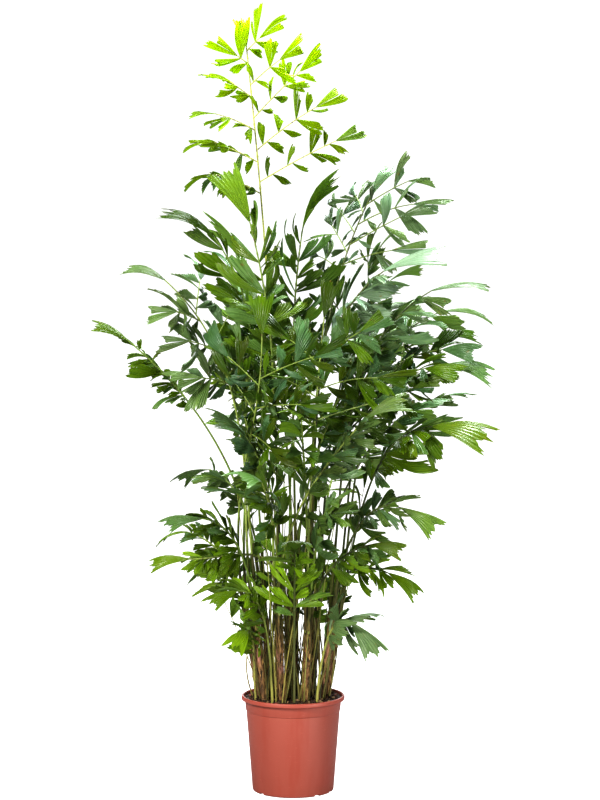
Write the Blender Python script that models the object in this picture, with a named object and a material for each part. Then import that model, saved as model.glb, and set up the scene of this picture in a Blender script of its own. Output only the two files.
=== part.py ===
"""Potted fishtail palm: a clump of fibrous canes and fishtail fronds in a plastic nursery pot.

Metres, +Z up. The origin is the middle of the pot's underside, and the plant's front faces -Y.
"""

import math
import random

import bmesh
import bpy
from mathutils import Matrix, Vector
from mathutils.bvhtree import BVHTree

UP = Vector((0.0, 0.0, 1.0))
GAP = 0.0003  # left between two pieces that touch
WELD = 0.00001

# Pot
POT_SEGMENTS = 32
POT_HEIGHT = 0.228
POT_FLOOR = 0.003
POT_WALL = 0.0028
POT_BASE_RADIUS = 0.0965
POT_WALL_RADIUS = 0.1148  # just under the rim
POT_BAND_HEIGHT = 0.024  # the slightly wider band below the rim
POT_BAND_STEP = 0.0015
RIM_RADIUS = 0.123
RIM_MOUTH_RADIUS = 0.1170
RIM_HEIGHT = 0.0105
RIM_ROUND = 0.002
MOUTH_BOTTOM = POT_HEIGHT - RIM_HEIGHT - RIM_ROUND  # where the inside starts to flare
BASE_CHAMFER = 0.004
DRAIN_ANGLES = (-51, 37, 68, 129, 217, 248)  # degrees from the front, round to the right
DRAIN_WIDTH = 0.016
DRAIN_HEIGHT = 0.004
DRAIN_DEPTH = 0.016

# Soil
SOIL_TOP = 0.2225
SOIL_LUMP = 0.0022
SOIL_RINGS = 2

# Canes: the place of each on the soil and of its head, and the head's height
CANES = (
    (-0.068, -0.034, -0.088, -0.048, 0.415),
    (-0.027, -0.060, -0.034, -0.088, 0.445),
    (0.030, -0.058, 0.036, -0.084, 0.400),
    (0.068, -0.030, 0.094, -0.044, 0.455),
    (0.078, 0.018, 0.104, 0.026, 0.385),
    (0.046, 0.062, 0.060, 0.084, 0.445),
    (-0.008, 0.078, -0.012, 0.104, 0.395),
    (-0.056, 0.056, -0.074, 0.074, 0.465),
    (-0.080, 0.008, -0.104, 0.012, 0.375),
    (-0.030, -0.018, -0.036, -0.028, 0.505),
    (0.030, -0.014, 0.038, -0.020, 0.535),
    (0.004, 0.032, 0.004, 0.042, 0.485),
)
CANE_SIDES = 8
SEAT_SIDES = 6
CANE_RADIUS = 0.0082
CANE_HEAD_RADIUS = 0.0125
CANE_SHEATHS = 2
CANE_SHEATH_FLARE = 0.0018
CANE_DEPTH = 0.045  # how far a cane stands in the soil
SEATS_PER_CANE = 3
SEAT_RADIUS = 0.0068  # from a cane's axis to each leaf stalk
SEAT_DEPTH = 0.012
SOIL_SEAT_DEPTH = 0.030
SUCKER_SPREAD = 0.8  # how far a sucker leans out, for each metre from the middle
SEAT_SHARE = 0.24  # of a tip's distance out, where its seat is looked for
SEAT_PLAY = 0.0007  # between a stem and the hole that it stands in
FACING_OUT = 0.52  # how far the upper side of a leaf stalk looks out
FACING_UP = 0.85  # and up
SHORTEST_RISE = 0.10  # how far a leaf stalk's first bend reaches up at least

# Leaf stalks, ribs and leaflets
STALK_RADIUS = 0.0033
STALK_TIP_RADIUS = 0.0014
RIB_RADIUS = 0.0015
RIB_TIP_RADIUS = 0.0011
RIB_BARE = 0.40  # share of a side rib below its first leaflets
CROWN_SPREAD = (1.58, 0.43)  # length of the crown's lowest and highest ribs, as a share
CROWN_TURN = 75  # degrees by which the crown's left leaflets are turned up on edge
RIB_LEAN = 0.20  # share by which the right ribs are longer than the middle, and the left shorter
RIB_SINK = 0.0004  # of a side rib's root below the middle of its stalk
BARE_STEPS = 5  # lengths that the bare part of a leaf stalk is made of
ROOT_WIDTH = 0.007  # of a leaflet, along its rib
BLADE_THICKNESS = 0.0022  # at the fold in the middle, tapering to the edge
BLADE_MIDDLE = (0.48, 0.0)
CLEARANCE = 0.0012  # kept round the blades and canes
STALK_CLEARANCE = 0.0014  # kept round the stalks
TIP_SHIFT = 0.0012  # how far a frond's tip may move at each further try
TRIES = 26
STALK_TRIES = 60
SEATS_TRIED = 5
STARTS = 30

# Outlines run round from the root, as shares of a leaflet's length and width
SIDE_OUTLINE = ((0.52, -0.42), (1.00, -0.40), (0.85, -0.10), (0.84, 0.16), (0.60, 0.46))
RIB_END_OUTLINE = ((0.60, -0.40), (1.00, -0.52), (0.85, -0.02), (0.93, 0.44), (0.58, 0.38))
END_OUTLINE = (
    (0.60, -0.40),
    (0.97, -0.56),
    (0.85, -0.20),
    (0.94, -0.02),
    (0.83, 0.20),
    (1.00, 0.52),
    (0.62, 0.38),
)

# How each kind of frond is divided. The pairs stand between the shares bare and top of the stalk's
# length. They are leaflets on a frond divided once, and side ribs, each with rib_pairs of leaflets,
# on one divided twice
PLANS = {
    "crown": dict(bare=0.70, top=1.02, pairs=5, rib=0.120, rib_pairs=1, leaflet=0.084, ratio=0.40, lift=0.30),
    "twice": dict(bare=0.60, top=0.92, pairs=3, rib=0.130, rib_pairs=1, leaflet=0.098, ratio=0.44, lift=0.14),
    "upper": dict(bare=0.76, top=1.00, pairs=4, rib=0.130, rib_pairs=1, leaflet=0.098, ratio=0.34, lift=0.00),
    "once": dict(bare=0.50, top=0.92, pairs=4, rib=0.0, rib_pairs=0, leaflet=0.114, ratio=0.46, lift=0.10),
    "large": dict(bare=0.55, top=0.92, pairs=4, rib=0.0, rib_pairs=0, leaflet=0.146, ratio=0.44, lift=0.14),
    "sparse": dict(bare=0.70, top=0.92, pairs=4, rib=0.0, rib_pairs=0, leaflet=0.088, ratio=0.42, lift=0.10),
    "small": dict(bare=0.45, top=0.92, pairs=3, rib=0.0, rib_pairs=0, leaflet=0.088, ratio=0.48, lift=0.08),
}

# Fronds: the end of the midrib, the slope there in degrees, the compass way that the upper side
# leans to, in degrees from the front round to the right, and the plan
FRONDS = (
    (-0.110, 0.020, 1.765, 83, 0, "crown"),
    (0.185, 0.040, 1.415, 62, 335, "upper"),
    (-0.185, -0.030, 1.315, 52, 20, "large"),
    (-0.100, -0.100, 1.350, 70, 0, "large"),
    (-0.300, -0.050, 1.215, 42, 30, "twice"),
    (-0.372, 0.000, 1.090, 42, 20, "sparse"),
    (-0.050, -0.170, 1.110, 80, 0, "twice"),
    (0.072, -0.170, 1.130, 76, 0, "twice"),
    (0.165, -0.210, 0.900, 46, 330, "once"),
    (0.135, -0.110, 1.010, 58, 340, "once"),
    (0.345, 0.010, 1.080, 26, 330, "twice"),
    (0.322, -0.090, 1.190, 30, 330, "large"),
    (0.345, -0.100, 1.015, 20, 320, "once"),
    (0.250, -0.150, 0.690, -16, 330, "once"),
    (0.225, -0.090, 0.530, -20, 320, "small"),
    (0.180, -0.190, 0.610, 12, 330, "small"),
    (-0.245, -0.060, 0.560, 4, 30, "small"),
    (-0.255, 0.060, 0.610, 12, 30, "small"),
    (0.210, -0.110, 1.235, 34, 340, "large"),
    (0.360, 0.100, 1.140, 18, 320, "large"),
    (0.320, -0.180, 0.880, 4, 340, "large"),
    (-0.105, -0.130, 1.000, 56, 20, "twice"),
    (-0.110, -0.180, 0.860, 40, 20, "once"),
    (0.020, -0.250, 0.900, 52, 0, "once"),
    (-0.070, -0.260, 0.760, 34, 10, "once"),
    (0.080, -0.240, 0.700, 32, 350, "once"),
    (-0.215, -0.140, 0.665, 6, 20, "small"),
    (0.025, 0.100, 1.350, 60, 180, "large"),
    (-0.120, 0.190, 1.250, 56, 200, "large"),
    (0.240, 0.220, 1.215, 42, 160, "twice"),
    (0.020, 0.340, 1.040, 30, 180, "twice"),
    (-0.120, 0.250, 1.050, 28, 210, "large"),
    (0.350, 0.210, 0.920, 18, 130, "once"),
    (-0.150, 0.360, 0.860, 14, 200, "once"),
    (0.140, 0.340, 0.800, 12, 160, "once"),
    (-0.205, 0.180, 0.750, 14, 220, "once"),
)

# Sucker fronds: the place on the soil first, then as above
SUCKERS = (
    (-0.086, -0.033, -0.105, -0.110, 0.400, 10, 20, "small"),
    (-0.047, -0.078, -0.130, -0.170, 0.500, 0, 20, "small"),
    (0.003, -0.092, 0.005, -0.205, 0.600, 45, 0, "once"),
    (0.055, -0.073, 0.135, -0.190, 0.430, -20, 340, "once"),
    (0.023, 0.088, 0.060, 0.230, 0.460, 0, 180, "once"),
    (-0.085, 0.034, -0.190, 0.190, 0.520, 0, 210, "once"),
    (0.082, 0.041, 0.145, 0.165, 0.520, 0, 140, "small"),
)


def clear_scene():
    for obj in list(bpy.data.objects):
        bpy.data.objects.remove(obj, do_unlink=True)


def material(name, colour, roughness):
    made = bpy.data.materials.new(name)
    made.use_nodes = True
    shader = made.node_tree.nodes["Principled BSDF"]
    shader.inputs["Base Color"].default_value = (*colour, 1.0)
    shader.inputs["Roughness"].default_value = roughness
    shader.inputs["Metallic"].default_value = 0.0
    made.diffuse_color = (*colour, 1.0)
    return made


def object_from(bm, name, finish):
    """Closes the bmesh into an object with its faces pointing out."""
    bmesh.ops.recalc_face_normals(bm, faces=bm.faces)
    mesh = bpy.data.meshes.new(name)
    bm.to_mesh(mesh)
    bm.free()
    made = bpy.data.objects.new(name, mesh)
    made.data.materials.append(finish)
    bpy.context.scene.collection.objects.link(made)
    return made


def smooth(made, degrees=40):
    made.data.shade_smooth()
    made.data.set_sharp_from_angle(angle=math.radians(degrees))


def apply_boolean(made, others, operation, solver="EXACT"):
    """Joins or cuts an object with a list of others, which are then removed."""
    group = bpy.data.collections.new("others")
    bpy.context.scene.collection.children.link(group)
    for other in others:
        for holder in list(other.users_collection):
            holder.objects.unlink(other)
        group.objects.link(other)
    boolean = made.modifiers.new(operation, "BOOLEAN")
    boolean.operation = operation
    boolean.operand_type = "COLLECTION"
    boolean.collection = group
    boolean.solver = solver
    graph = bpy.context.evaluated_depsgraph_get()
    joined = bpy.data.meshes.new_from_object(made.evaluated_get(graph))
    made.modifiers.clear()
    made.data = joined
    for other in others:
        bpy.data.objects.remove(other, do_unlink=True)
    bpy.data.collections.remove(group)


def lathe(bm, profile):
    """Turns an outline of (radius, height) points round the Z axis."""
    corners = [bm.verts.new((radius, 0.0, height)) for radius, height in profile]
    edges = [bm.edges.new(pair) for pair in zip(corners, corners[1:])]
    bmesh.ops.spin(
        bm,
        geom=corners + edges,
        cent=(0.0, 0.0, 0.0),
        axis=UP,
        angle=math.tau,
        steps=POT_SEGMENTS,
        use_merge=True,
    )
    bmesh.ops.remove_doubles(bm, verts=bm.verts, dist=WELD)


def prism(bm, base, axis, length, radius, sides):
    """A closed prism that starts at base and runs along axis."""
    turn = UP.rotation_difference(axis).to_matrix().to_4x4()
    place = Matrix.Translation(base + axis * length / 2) @ turn
    bmesh.ops.create_cone(
        bm,
        cap_ends=True,
        segments=sides,
        radius1=radius,
        radius2=radius,
        depth=length,
        matrix=place,
    )


def wall_radius(height):
    """The pot's outer radius below the band, at a height."""
    share = height / (POT_HEIGHT - RIM_HEIGHT)
    return POT_BASE_RADIUS + (POT_WALL_RADIUS - POT_BASE_RADIUS) * share


def mouth_radius(height):
    """The inner radius of the pot's flared mouth, at a height."""
    inside = wall_radius(POT_HEIGHT - RIM_HEIGHT) - POT_WALL
    share = (height - MOUTH_BOTTOM) / (POT_HEIGHT - MOUTH_BOTTOM)
    return inside + (RIM_MOUTH_RADIUS - inside) * share


def pot_profile():
    rim_bottom = POT_HEIGHT - RIM_HEIGHT
    band_bottom = rim_bottom - POT_BAND_HEIGHT
    return (
        (0.0, 0.0),
        (POT_BASE_RADIUS - BASE_CHAMFER, 0.0),
        (wall_radius(BASE_CHAMFER), BASE_CHAMFER),
        (wall_radius(band_bottom) - POT_BAND_STEP, band_bottom - POT_BAND_STEP),
        (wall_radius(band_bottom), band_bottom),
        (POT_WALL_RADIUS, rim_bottom),
        (RIM_RADIUS - RIM_ROUND, rim_bottom),
        (RIM_RADIUS, rim_bottom + RIM_ROUND),
        (RIM_RADIUS, POT_HEIGHT - RIM_ROUND),
        (RIM_RADIUS - RIM_ROUND, POT_HEIGHT),
        (RIM_MOUTH_RADIUS, POT_HEIGHT),
        (mouth_radius(MOUTH_BOTTOM), MOUTH_BOTTOM),
        (wall_radius(POT_FLOOR) - POT_WALL, POT_FLOOR),
        (0.0, POT_FLOOR),
    )


def make_pot(finish):
    bm = bmesh.new()
    lathe(bm, pot_profile())
    pot = object_from(bm, "pot", finish)
    slots = bmesh.new()
    for degrees in DRAIN_ANGLES:
        spin = Matrix.Rotation(math.radians(degrees - 90), 4, "Z")
        middle = Matrix.Translation((POT_BASE_RADIUS, 0.0, 0.0))
        size = Matrix.Diagonal((DRAIN_DEPTH, DRAIN_WIDTH, 2 * DRAIN_HEIGHT, 1.0))
        bmesh.ops.create_cube(slots, size=1.0, matrix=spin @ middle @ size)
    apply_boolean(pot, [object_from(slots, "drain_slots", finish)], "DIFFERENCE")
    smooth(pot)
    return pot


def lump(x, y):
    """The height of the soil's lumps at a point, from three crossing waves."""
    wave = math.sin(83 * x + 41 * y) + math.sin(121 * y - 37 * x) + math.sin(167 * x + 131 * y + 1)
    return SOIL_LUMP * wave / 3


def make_soil(finish, seats):
    """The soil, with a plain hole for each seat, given as base, axis, length, radius and sides."""
    inside = mouth_radius(SOIL_TOP) - 2 * GAP
    bottom = wall_radius(POT_FLOOR) - POT_WALL - GAP
    profile = [(0.0, POT_FLOOR + GAP), (bottom, POT_FLOOR + GAP)]
    profile.append((mouth_radius(MOUTH_BOTTOM) - GAP, MOUTH_BOTTOM))
    profile += [(inside * (1 - i / SOIL_RINGS), SOIL_TOP) for i in range(SOIL_RINGS + 1)]
    bm = bmesh.new()
    lathe(bm, profile)
    for corner in bm.verts:
        if corner.co.z > SOIL_TOP - GAP and corner.co.xy.length < inside - GAP:
            corner.co.z += lump(corner.co.x, corner.co.y)
    soil = object_from(bm, "soil", finish)
    holes = bmesh.new()
    for base, axis, length, radius, sides in seats:
        prism(holes, base, axis, length, radius, sides)
    apply_boolean(soil, [object_from(holes, "soil_holes", finish)], "DIFFERENCE")
    smooth(soil, 60)
    return soil


class Cane:
    """A fibrous cane, which leans out from the soil to its head."""

    def __init__(self, foot_x, foot_y, head_x, head_y, head_z):
        self.head = Vector((head_x, head_y, head_z))
        surface = Vector((foot_x, foot_y, SOIL_TOP))
        self.axis = (self.head - surface).normalized()
        self.foot = surface - self.axis * CANE_DEPTH
        self.length = (self.head - self.foot).length
        self.side = self.axis.orthogonal().normalized()

    def rings(self):
        """Distances along the cane and the radius at each, flared at the end of each sheath."""
        bare = CANE_DEPTH + SOIL_LUMP
        step = (self.length - bare) / CANE_SHEATHS
        found = [(0.0, CANE_RADIUS), (bare, CANE_RADIUS)]
        for i in range(1, CANE_SHEATHS):
            found.append((bare + i * step, CANE_RADIUS + CANE_SHEATH_FLARE))
            found.append((bare + i * step + CANE_SHEATH_FLARE, CANE_RADIUS))
        found.append((self.length - 2 * SEAT_DEPTH, CANE_RADIUS + CANE_SHEATH_FLARE))
        found.append((self.length, CANE_HEAD_RADIUS))
        return found

    def seat(self, number):
        """Where a leaf stalk stands in the head."""
        spin = Matrix.Rotation(math.tau * number / SEATS_PER_CANE, 3, self.axis)
        return self.head + spin @ self.side * SEAT_RADIUS - self.axis * SEAT_DEPTH

    def corners(self, along, radius):
        across = self.axis.cross(self.side)
        centre = self.foot + self.axis * along
        angles = [math.tau * (i + 0.5) / CANE_SIDES for i in range(CANE_SIDES)]
        return [centre + radius * (math.cos(a) * self.side + math.sin(a) * across) for a in angles]

    def shape(self, owner):
        rings = [self.corners(along, radius + CLEARANCE) for along, radius in self.rings()]
        return tube_shape(rings, owner)

    def make(self, name, finish):
        bm = bmesh.new()
        rings = [[bm.verts.new(p) for p in self.corners(*ring)] for ring in self.rings()]
        for low, high in zip(rings, rings[1:]):
            bridge(bm, low, high)
        bm.faces.new(rings[0])
        bm.faces.new(rings[-1])
        cane = object_from(bm, name, finish)
        mouths = bmesh.new()
        for number in range(SEATS_PER_CANE):
            mouth = hole_radius(STALK_RADIUS, SEAT_SIDES)
            prism(mouths, self.seat(number), self.axis, 2 * SEAT_DEPTH, mouth, SEAT_SIDES)
        apply_boolean(cane, [object_from(mouths, "mouths", finish)], "DIFFERENCE")
        smooth(cane)
        return cane


def hole_radius(stem, sides):
    """The radius of a hole of so many sides that clears a round stem."""
    return (stem + SEAT_PLAY) / math.cos(math.pi / sides)


def bridge(bm, low, high):
    for i in range(len(low)):
        j = (i + 1) % len(low)
        bm.faces.new((low[i], low[j], high[j], high[i]))


class Shape:
    """A stand-in for a placed piece, slightly fatter than it, to test what crosses what."""

    def __init__(self, points, faces, owner):
        self.tree = BVHTree.FromPolygons(points, faces)
        self.low = [min(p[i] for p in points) for i in range(3)]
        self.high = [max(p[i] for p in points) for i in range(3)]
        self.owner = owner

    def meets(self, other):
        apart = any(self.low[i] > other.high[i] or other.low[i] > self.high[i] for i in range(3))
        return not apart and bool(self.tree.overlap(other.tree))


def tube_shape(rings, owner):
    sides = len(rings[0])
    faces = []
    for r in range(len(rings) - 1):
        for i in range(sides):
            j = (i + 1) % sides
            low = r * sides
            faces.append((low + i, low + j, low + sides + j, low + sides + i))
    return Shape([p for ring in rings for p in ring], faces, owner)


class Space:
    """What is already placed."""

    def __init__(self):
        self.shapes = []

    def free(self, shape, skipped):
        return not any(o.owner not in skipped and shape.meets(o) for o in self.shapes)


class Place:
    """A point on a stalk, with the ways along it, to its right and to its upper side."""

    def __init__(self, point, along, facing):
        self.point = point
        self.along = along
        self.right = along.cross(facing).normalized()
        self.up = self.right.cross(along)


class Stalk:
    """A leaf stalk or side rib: a smooth line, the way it faces and its thickness."""

    def __init__(self, line, facing, radii, owner, shares):
        self.line = line
        self.facing = facing
        self.radii = radii
        self.owner = owner
        self.shares = shares  # of its length, where it has a corner
        self.pairs = []  # (share of the length, left leaflet, right leaflet)
        self.end = None
        self.ribs = []
        self.sunk = Vector()  # from the stalk's start to the bottom of its hole
        self.length = sum((line((i + 1) / 8) - line(i / 8)).length for i in range(8))

    def place(self, share):
        step = 0.01
        along = self.line(share + step) - self.line(share - step)
        return Place(self.line(share), along.normalized(), self.facing)

    def radius(self, share):
        return self.radii[0] + (self.radii[1] - self.radii[0]) * share

    def shape(self):
        rings = []
        for share in self.shares:
            place = self.place(share)
            radius = self.radius(share) + STALK_CLEARANCE
            rings.append([place.point + radius * way for way in four_ways(place)])
        return tube_shape(rings, self.owner)


def four_ways(place):
    """The ways to the four corners of a stalk: upper right and left, lower left and right."""
    half = math.sqrt(0.5)
    return (
        half * (place.right + place.up),
        half * (place.up - place.right),
        -half * (place.right + place.up),
        half * (place.right - place.up),
    )


def bezier(first, second, third, fourth):
    def line(t):
        s = 1 - t
        return s**3 * first + 3 * s * s * t * second + 3 * s * t * t * third + t**3 * fourth

    return line


def drooping(base, along, length, droop):
    """A line that leaves base along a way and sinks by a share of its length."""

    def line(t):
        return base + along * length * t - UP * droop * length * t * t

    return line


class Blade:
    """A fishtail leaflet: its root, its own axes, and its outline in them."""

    def __init__(self, root, height, along, across, up, length, width, outline, bend):
        self.root = root
        self.height = height  # of the root, half of it
        self.along = along
        self.across = across
        self.up = up
        self.length = length
        self.width = width
        self.outline = outline
        self.bend = bend

    def point(self, u, v, lift=0.0):
        """A point of the blade, bent down along its length and folded down at its sides."""
        sink = self.bend * self.length * u * u + 0.35 * self.width * v * v
        flat = self.along * self.length * u + self.across * self.width * v
        return self.root + flat + self.up * (lift - sink)

    def rim(self):
        return [self.point(u, v) for u, v in self.outline]

    def middle(self, side):
        return self.point(*BLADE_MIDDLE, lift=side * BLADE_THICKNESS / 2)

    def shape(self, owner):
        """A lens a little larger than the blade."""
        points = []
        faces = []
        for side in (-1, 1):
            first = len(points)
            root_lift = side * (self.height + CLEARANCE)
            points.append(self.point(*BLADE_MIDDLE, lift=side * (BLADE_THICKNESS / 2 + CLEARANCE)))
            points.append(self.point(0.0, -0.08, root_lift))
            points += [self.point(u * 1.02, v * 1.05, side * CLEARANCE) for u, v in self.outline]
            points.append(self.point(0.0, 0.08, root_lift))
            last = len(points) - 1
            faces += [(first, i, i + 1) for i in range(first + 1, last)] + [(first, last, first + 1)]
        half = len(points) // 2
        faces += [(i, i + 1, half + i + 1, half + i) for i in range(1, half - 1)]
        faces.append((half - 1, 1, half + 1, 2 * half - 1))
        return Shape(points, faces, owner)


def turned(way, axis, degrees):
    return Matrix.Rotation(math.radians(degrees), 3, axis) @ way


def side_blade(stalk, share, side, length, plan, angle, pitch, roll, draw):
    """A leaflet at the left (-1) or right (1) of a stalk."""
    place = stalk.place(share)
    out = place.along * math.cos(math.radians(angle)) + side * place.right * math.sin(math.radians(angle))
    along = (out * math.cos(math.radians(pitch)) + place.up * math.sin(math.radians(pitch))).normalized()
    across = (place.along - place.along.dot(along) * along).normalized()
    across = turned(across, along, roll)
    up = side * along.cross(across)
    root = place.point + side * place.right * stalk.radius(share)
    outline = SIDE_OUTLINE
    if draw.random() < 0.3:
        outline = [(u, -v) for u, v in reversed(SIDE_OUTLINE)]
    width = length * plan["ratio"] * draw.uniform(0.92, 1.10)
    bend = draw.uniform(0.10, 0.38)
    return Blade(root, stalk.radius(share), along, across, up, length, width, outline, bend)


def end_blade(stalk, length, plan, pitch, roll, draw):
    """The leaflet at a stalk's end."""
    place = stalk.place(1.0)
    pitch = math.radians(pitch)
    along = (place.along * math.cos(pitch) + place.up * math.sin(pitch)).normalized()
    across = turned(place.right, along, roll)
    up = across.cross(along).normalized()
    width = length * (plan["ratio"] + 0.10) * draw.uniform(0.95, 1.10)
    outline = END_OUTLINE if stalk.sunk.length else RIB_END_OUTLINE
    bend = draw.uniform(0.12, 0.34)
    return Blade(place.point, stalk.radius(1.0), along, across, up, length, width, outline, bend)


def fit(space, make, owner, skipped):
    """Tries small changes to a shape until it crosses nothing, and keeps its place."""
    for attempt in range(TRIES):
        made = make(attempt)
        shape = made.shape(owner)
        if space.free(shape, skipped):
            space.shapes.append(shape)
            return made
    return None


def grow_leaflets(space, stalk, plan, first, count, seed):
    """Places pairs of leaflets from a share of the stalk up to its end, and the end leaflet."""
    for i in range(count):
        share = leaflet_share(first, i, count)
        swell = 0.80 + 0.24 * math.sin(math.pi * (i + 0.8) / (count + 0.4))
        both = []
        for side in (-1, 1):
            draw_seed = f"{seed} {i} {side}"

            def make(attempt, share=share, side=side, draw_seed=draw_seed, swell=swell):
                draw = random.Random(draw_seed)
                near_end = (i + 0.5) / count
                angle = 62 - 20 * near_end + draw.uniform(-7, 7)
                length = plan["leaflet"] * swell * draw.uniform(0.92, 1.08)
                pitch = draw.uniform(-34, 14)
                roll = draw.uniform(-50, 50)
                tries = random.Random(f"{draw_seed} {attempt}")
                swing = 3.4 * attempt
                return side_blade(
                    stalk,
                    share,
                    side,
                    length * (1 - 0.009 * attempt),
                    plan,
                    min(max(angle + tries.uniform(-0.5, 0.5) * swing, 25), 95),
                    pitch + tries.uniform(-1, 1) * swing,
                    roll + tries.uniform(-1, 1) * swing,
                    draw,
                )

            skipped = (stalk.owner, f"{seed} {i} {-side}")
            both.append(fit(space, make, draw_seed, skipped))
        stalk.pairs.append((share, *both))

    def make_end(attempt):
        draw = random.Random(f"{seed} end")
        length = plan["leaflet"] * draw.uniform(0.92, 1.10)
        pitch = draw.uniform(-16, 4)
        roll = draw.uniform(-12, 12)
        tries = random.Random(f"{seed} end {attempt}")
        swing = 3.0 * attempt
        return end_blade(
            stalk,
            length * (1 - 0.009 * attempt),
            plan,
            pitch + tries.uniform(-0.6, 0.6) * swing,
            roll + tries.uniform(-1, 1) * swing,
            draw,
        )

    stalk.end = fit(space, make_end, f"{seed} end", (stalk.owner,))


def stalk_to(seat, way, depth, frond, owner, attempt):
    """The leaf stalk from its seat to its tip: straight in its hole, and then a smooth arch."""
    *tip, slope, lean, plan = frond
    tries = random.Random(f"{owner} {attempt}")
    shift = TIP_SHIFT * attempt
    tip = Vector(tip) + Vector([tries.uniform(-shift, shift) for _ in range(3)])
    seat = seat + way * depth
    heading = tip - seat
    heading.z = 0.0
    heading.normalize()
    slope = math.radians(slope + 0.3 * tries.uniform(-attempt, attempt))
    end_way = heading * math.cos(slope) + UP * math.sin(slope)
    reach = (tip - seat).length
    near = max((0.42 + 0.003 * tries.uniform(-attempt, attempt)) * reach, SHORTEST_RISE)
    far = (0.34 + 0.002 * tries.uniform(-attempt, attempt)) * reach
    line = bezier(seat, seat + way * near, tip - end_way * far, tip)
    lean = math.radians(lean)
    facing = Vector((math.sin(lean), -math.cos(lean), 0.0)) * FACING_OUT + UP * FACING_UP
    stalk = Stalk(line, facing, (STALK_RADIUS, STALK_TIP_RADIUS), owner, corner_shares(PLANS[plan]))
    stalk.sunk = way * -depth
    return stalk


def grow_stalk(space, seats, depth, frond, name):
    """Tries the nearest free seats, and small changes to the arch, until the stalk crosses nothing."""

    def miss(seat):
        return (seat[0].xy - SEAT_SHARE * Vector(frond[:2])).length

    nearest = sorted(seats, key=miss)[:SEATS_TRIED]
    for attempt in range(STALK_TRIES):
        for seat in nearest:
            point, way, holder = seat
            stalk = stalk_to(point, way, depth, frond, name, attempt)
            shape = stalk.shape()
            if space.free(shape, (name, holder)):
                space.shapes.append(shape)
                seats.remove(seat)
                return stalk
    return None


def grow_stalks(canes):
    """Grows the stalk of every frond and sucker. One that finds no way goes first in a new start."""
    queue = []
    for number, frond in enumerate(FRONDS, 1):
        queue.append((frond[2], f"frond_{number:02d}", SEAT_DEPTH, frond, None))
    for number, (foot_x, foot_y, *frond) in enumerate(SUCKERS, 1):
        foot = Vector((foot_x, foot_y, SOIL_TOP - SOIL_SEAT_DEPTH))
        way = (UP + SUCKER_SPREAD * Vector((foot_x, foot_y, 0.0))).normalized()
        seat = (foot, way, "soil")
        queue.append((frond[2], f"sucker_frond_{number:02d}", SOIL_SEAT_DEPTH, frond, seat))
    queue.sort()
    for _ in range(STARTS):
        space = Space()
        seats = []
        for number, cane in enumerate(canes, 1):
            name = f"cane_{number:02d}"
            space.shapes.append(cane.shape(name))
            seats += [(cane.seat(i) + cane.axis * GAP, cane.axis, name) for i in range(SEATS_PER_CANE)]
        grown = []
        for waiting in queue:
            _, name, depth, frond, seat = waiting
            stalk = grow_stalk(space, [seat] if seat else seats, depth, frond, name)
            if stalk is None:
                break
            grown.append((name, stalk, PLANS[frond[5]]))
        else:
            return space, sorted(grown)
        queue.remove(waiting)
        queue.insert(0, waiting)
    raise ValueError("some fronds find no way up past the others")


def rib_share(plan, number):
    """How far up its stalk a pair of side ribs stands."""
    return plan["bare"] + (plan["top"] - plan["bare"]) * (number + 0.35) / plan["pairs"]


def leaflet_share(first, number, count):
    """How far up its stalk or rib a pair of leaflets stands, the first of them above a share."""
    return first + (0.93 - first) * (number + 0.5) / count


def bare_shares(plan):
    """Where a leaf stalk has a corner, apart from those at its leaflets."""
    shares = [plan["bare"] * i / BARE_STEPS for i in range(BARE_STEPS + 1)]
    if plan["rib"]:
        shares += [rib_share(plan, i) for i in range(plan["pairs"])]
    return shares


def corner_shares(plan):
    shares = bare_shares(plan)
    if not plan["rib"]:
        shares += [leaflet_share(plan["bare"], i, plan["pairs"]) for i in range(plan["pairs"])]
    return [*shares, 1.0]


def grow_ribs(space, stalk, plan, seed):
    """Places the side ribs of a frond divided twice."""
    count = plan["rib_pairs"]
    shares = [0.0, *(leaflet_share(RIB_BARE, i, count) for i in range(count)), 1.0]
    for i in range(plan["pairs"]):
        share = rib_share(plan, i)
        swell = 0.72 + 0.34 * math.sin(math.pi * (i + 1.0) / (plan["pairs"] + 0.8))
        for side in (-1, 1):
            place_share = share + 0.012 * side
            for attempt in range(TRIES):
                draw = random.Random(f"{seed} rib {i} {side} {attempt}")
                swing = 1.5 * attempt
                place = stalk.place(place_share)
                angle = math.radians(58 - 14 * i / plan["pairs"] + draw.uniform(-6 - swing, 6 + swing))
                out = place.along * math.cos(angle) + side * place.right * math.sin(angle)
                along = (out + place.up * (plan["lift"] + draw.uniform(-0.1, 0.1))).normalized()
                length = plan["rib"] * swell * draw.uniform(0.9, 1.1) * (1 - 0.01 * attempt)
                length *= 1 + RIB_LEAN * side
                if plan["top"] > 1:
                    low, high = CROWN_SPREAD
                    length *= low + (high - low) * i / (plan["pairs"] - 1)
                base = place.point - place.up * RIB_SINK
                line = drooping(base, along, length, draw.uniform(0.05, 0.22))
                owner = f"{seed} rib {i} {side}"
                facing = place.up
                if plan["top"] > 1 and side < 0 and i < plan["pairs"] - 1:
                    facing = turned(facing, along, CROWN_TURN)
                rib = Stalk(line, facing, (RIB_RADIUS, RIB_TIP_RADIUS), owner, shares)
                shape = rib.shape()
                if space.free(shape, (stalk.owner,)):
                    space.shapes.append(shape)
                    stalk.ribs.append(rib)
                    break


def blade_skin(bm, blade, first, last):
    """Skins a leaflet onto two edges of its stalk, each given as an upper and a lower corner."""
    rim = [bm.verts.new(p) for p in blade.rim()]
    for side, level in ((1, 0), (-1, 1)):
        middle = bm.verts.new(blade.middle(side))
        loop = [first[level], *rim, last[level]]
        for a, b in zip(loop, loop[1:] + loop[:1]):
            if a is not b:
                bm.faces.new((middle, a, b))
    bm.faces.new((first[0], first[1], rim[0]))
    bm.faces.new((last[0], last[1], rim[-1]))


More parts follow.
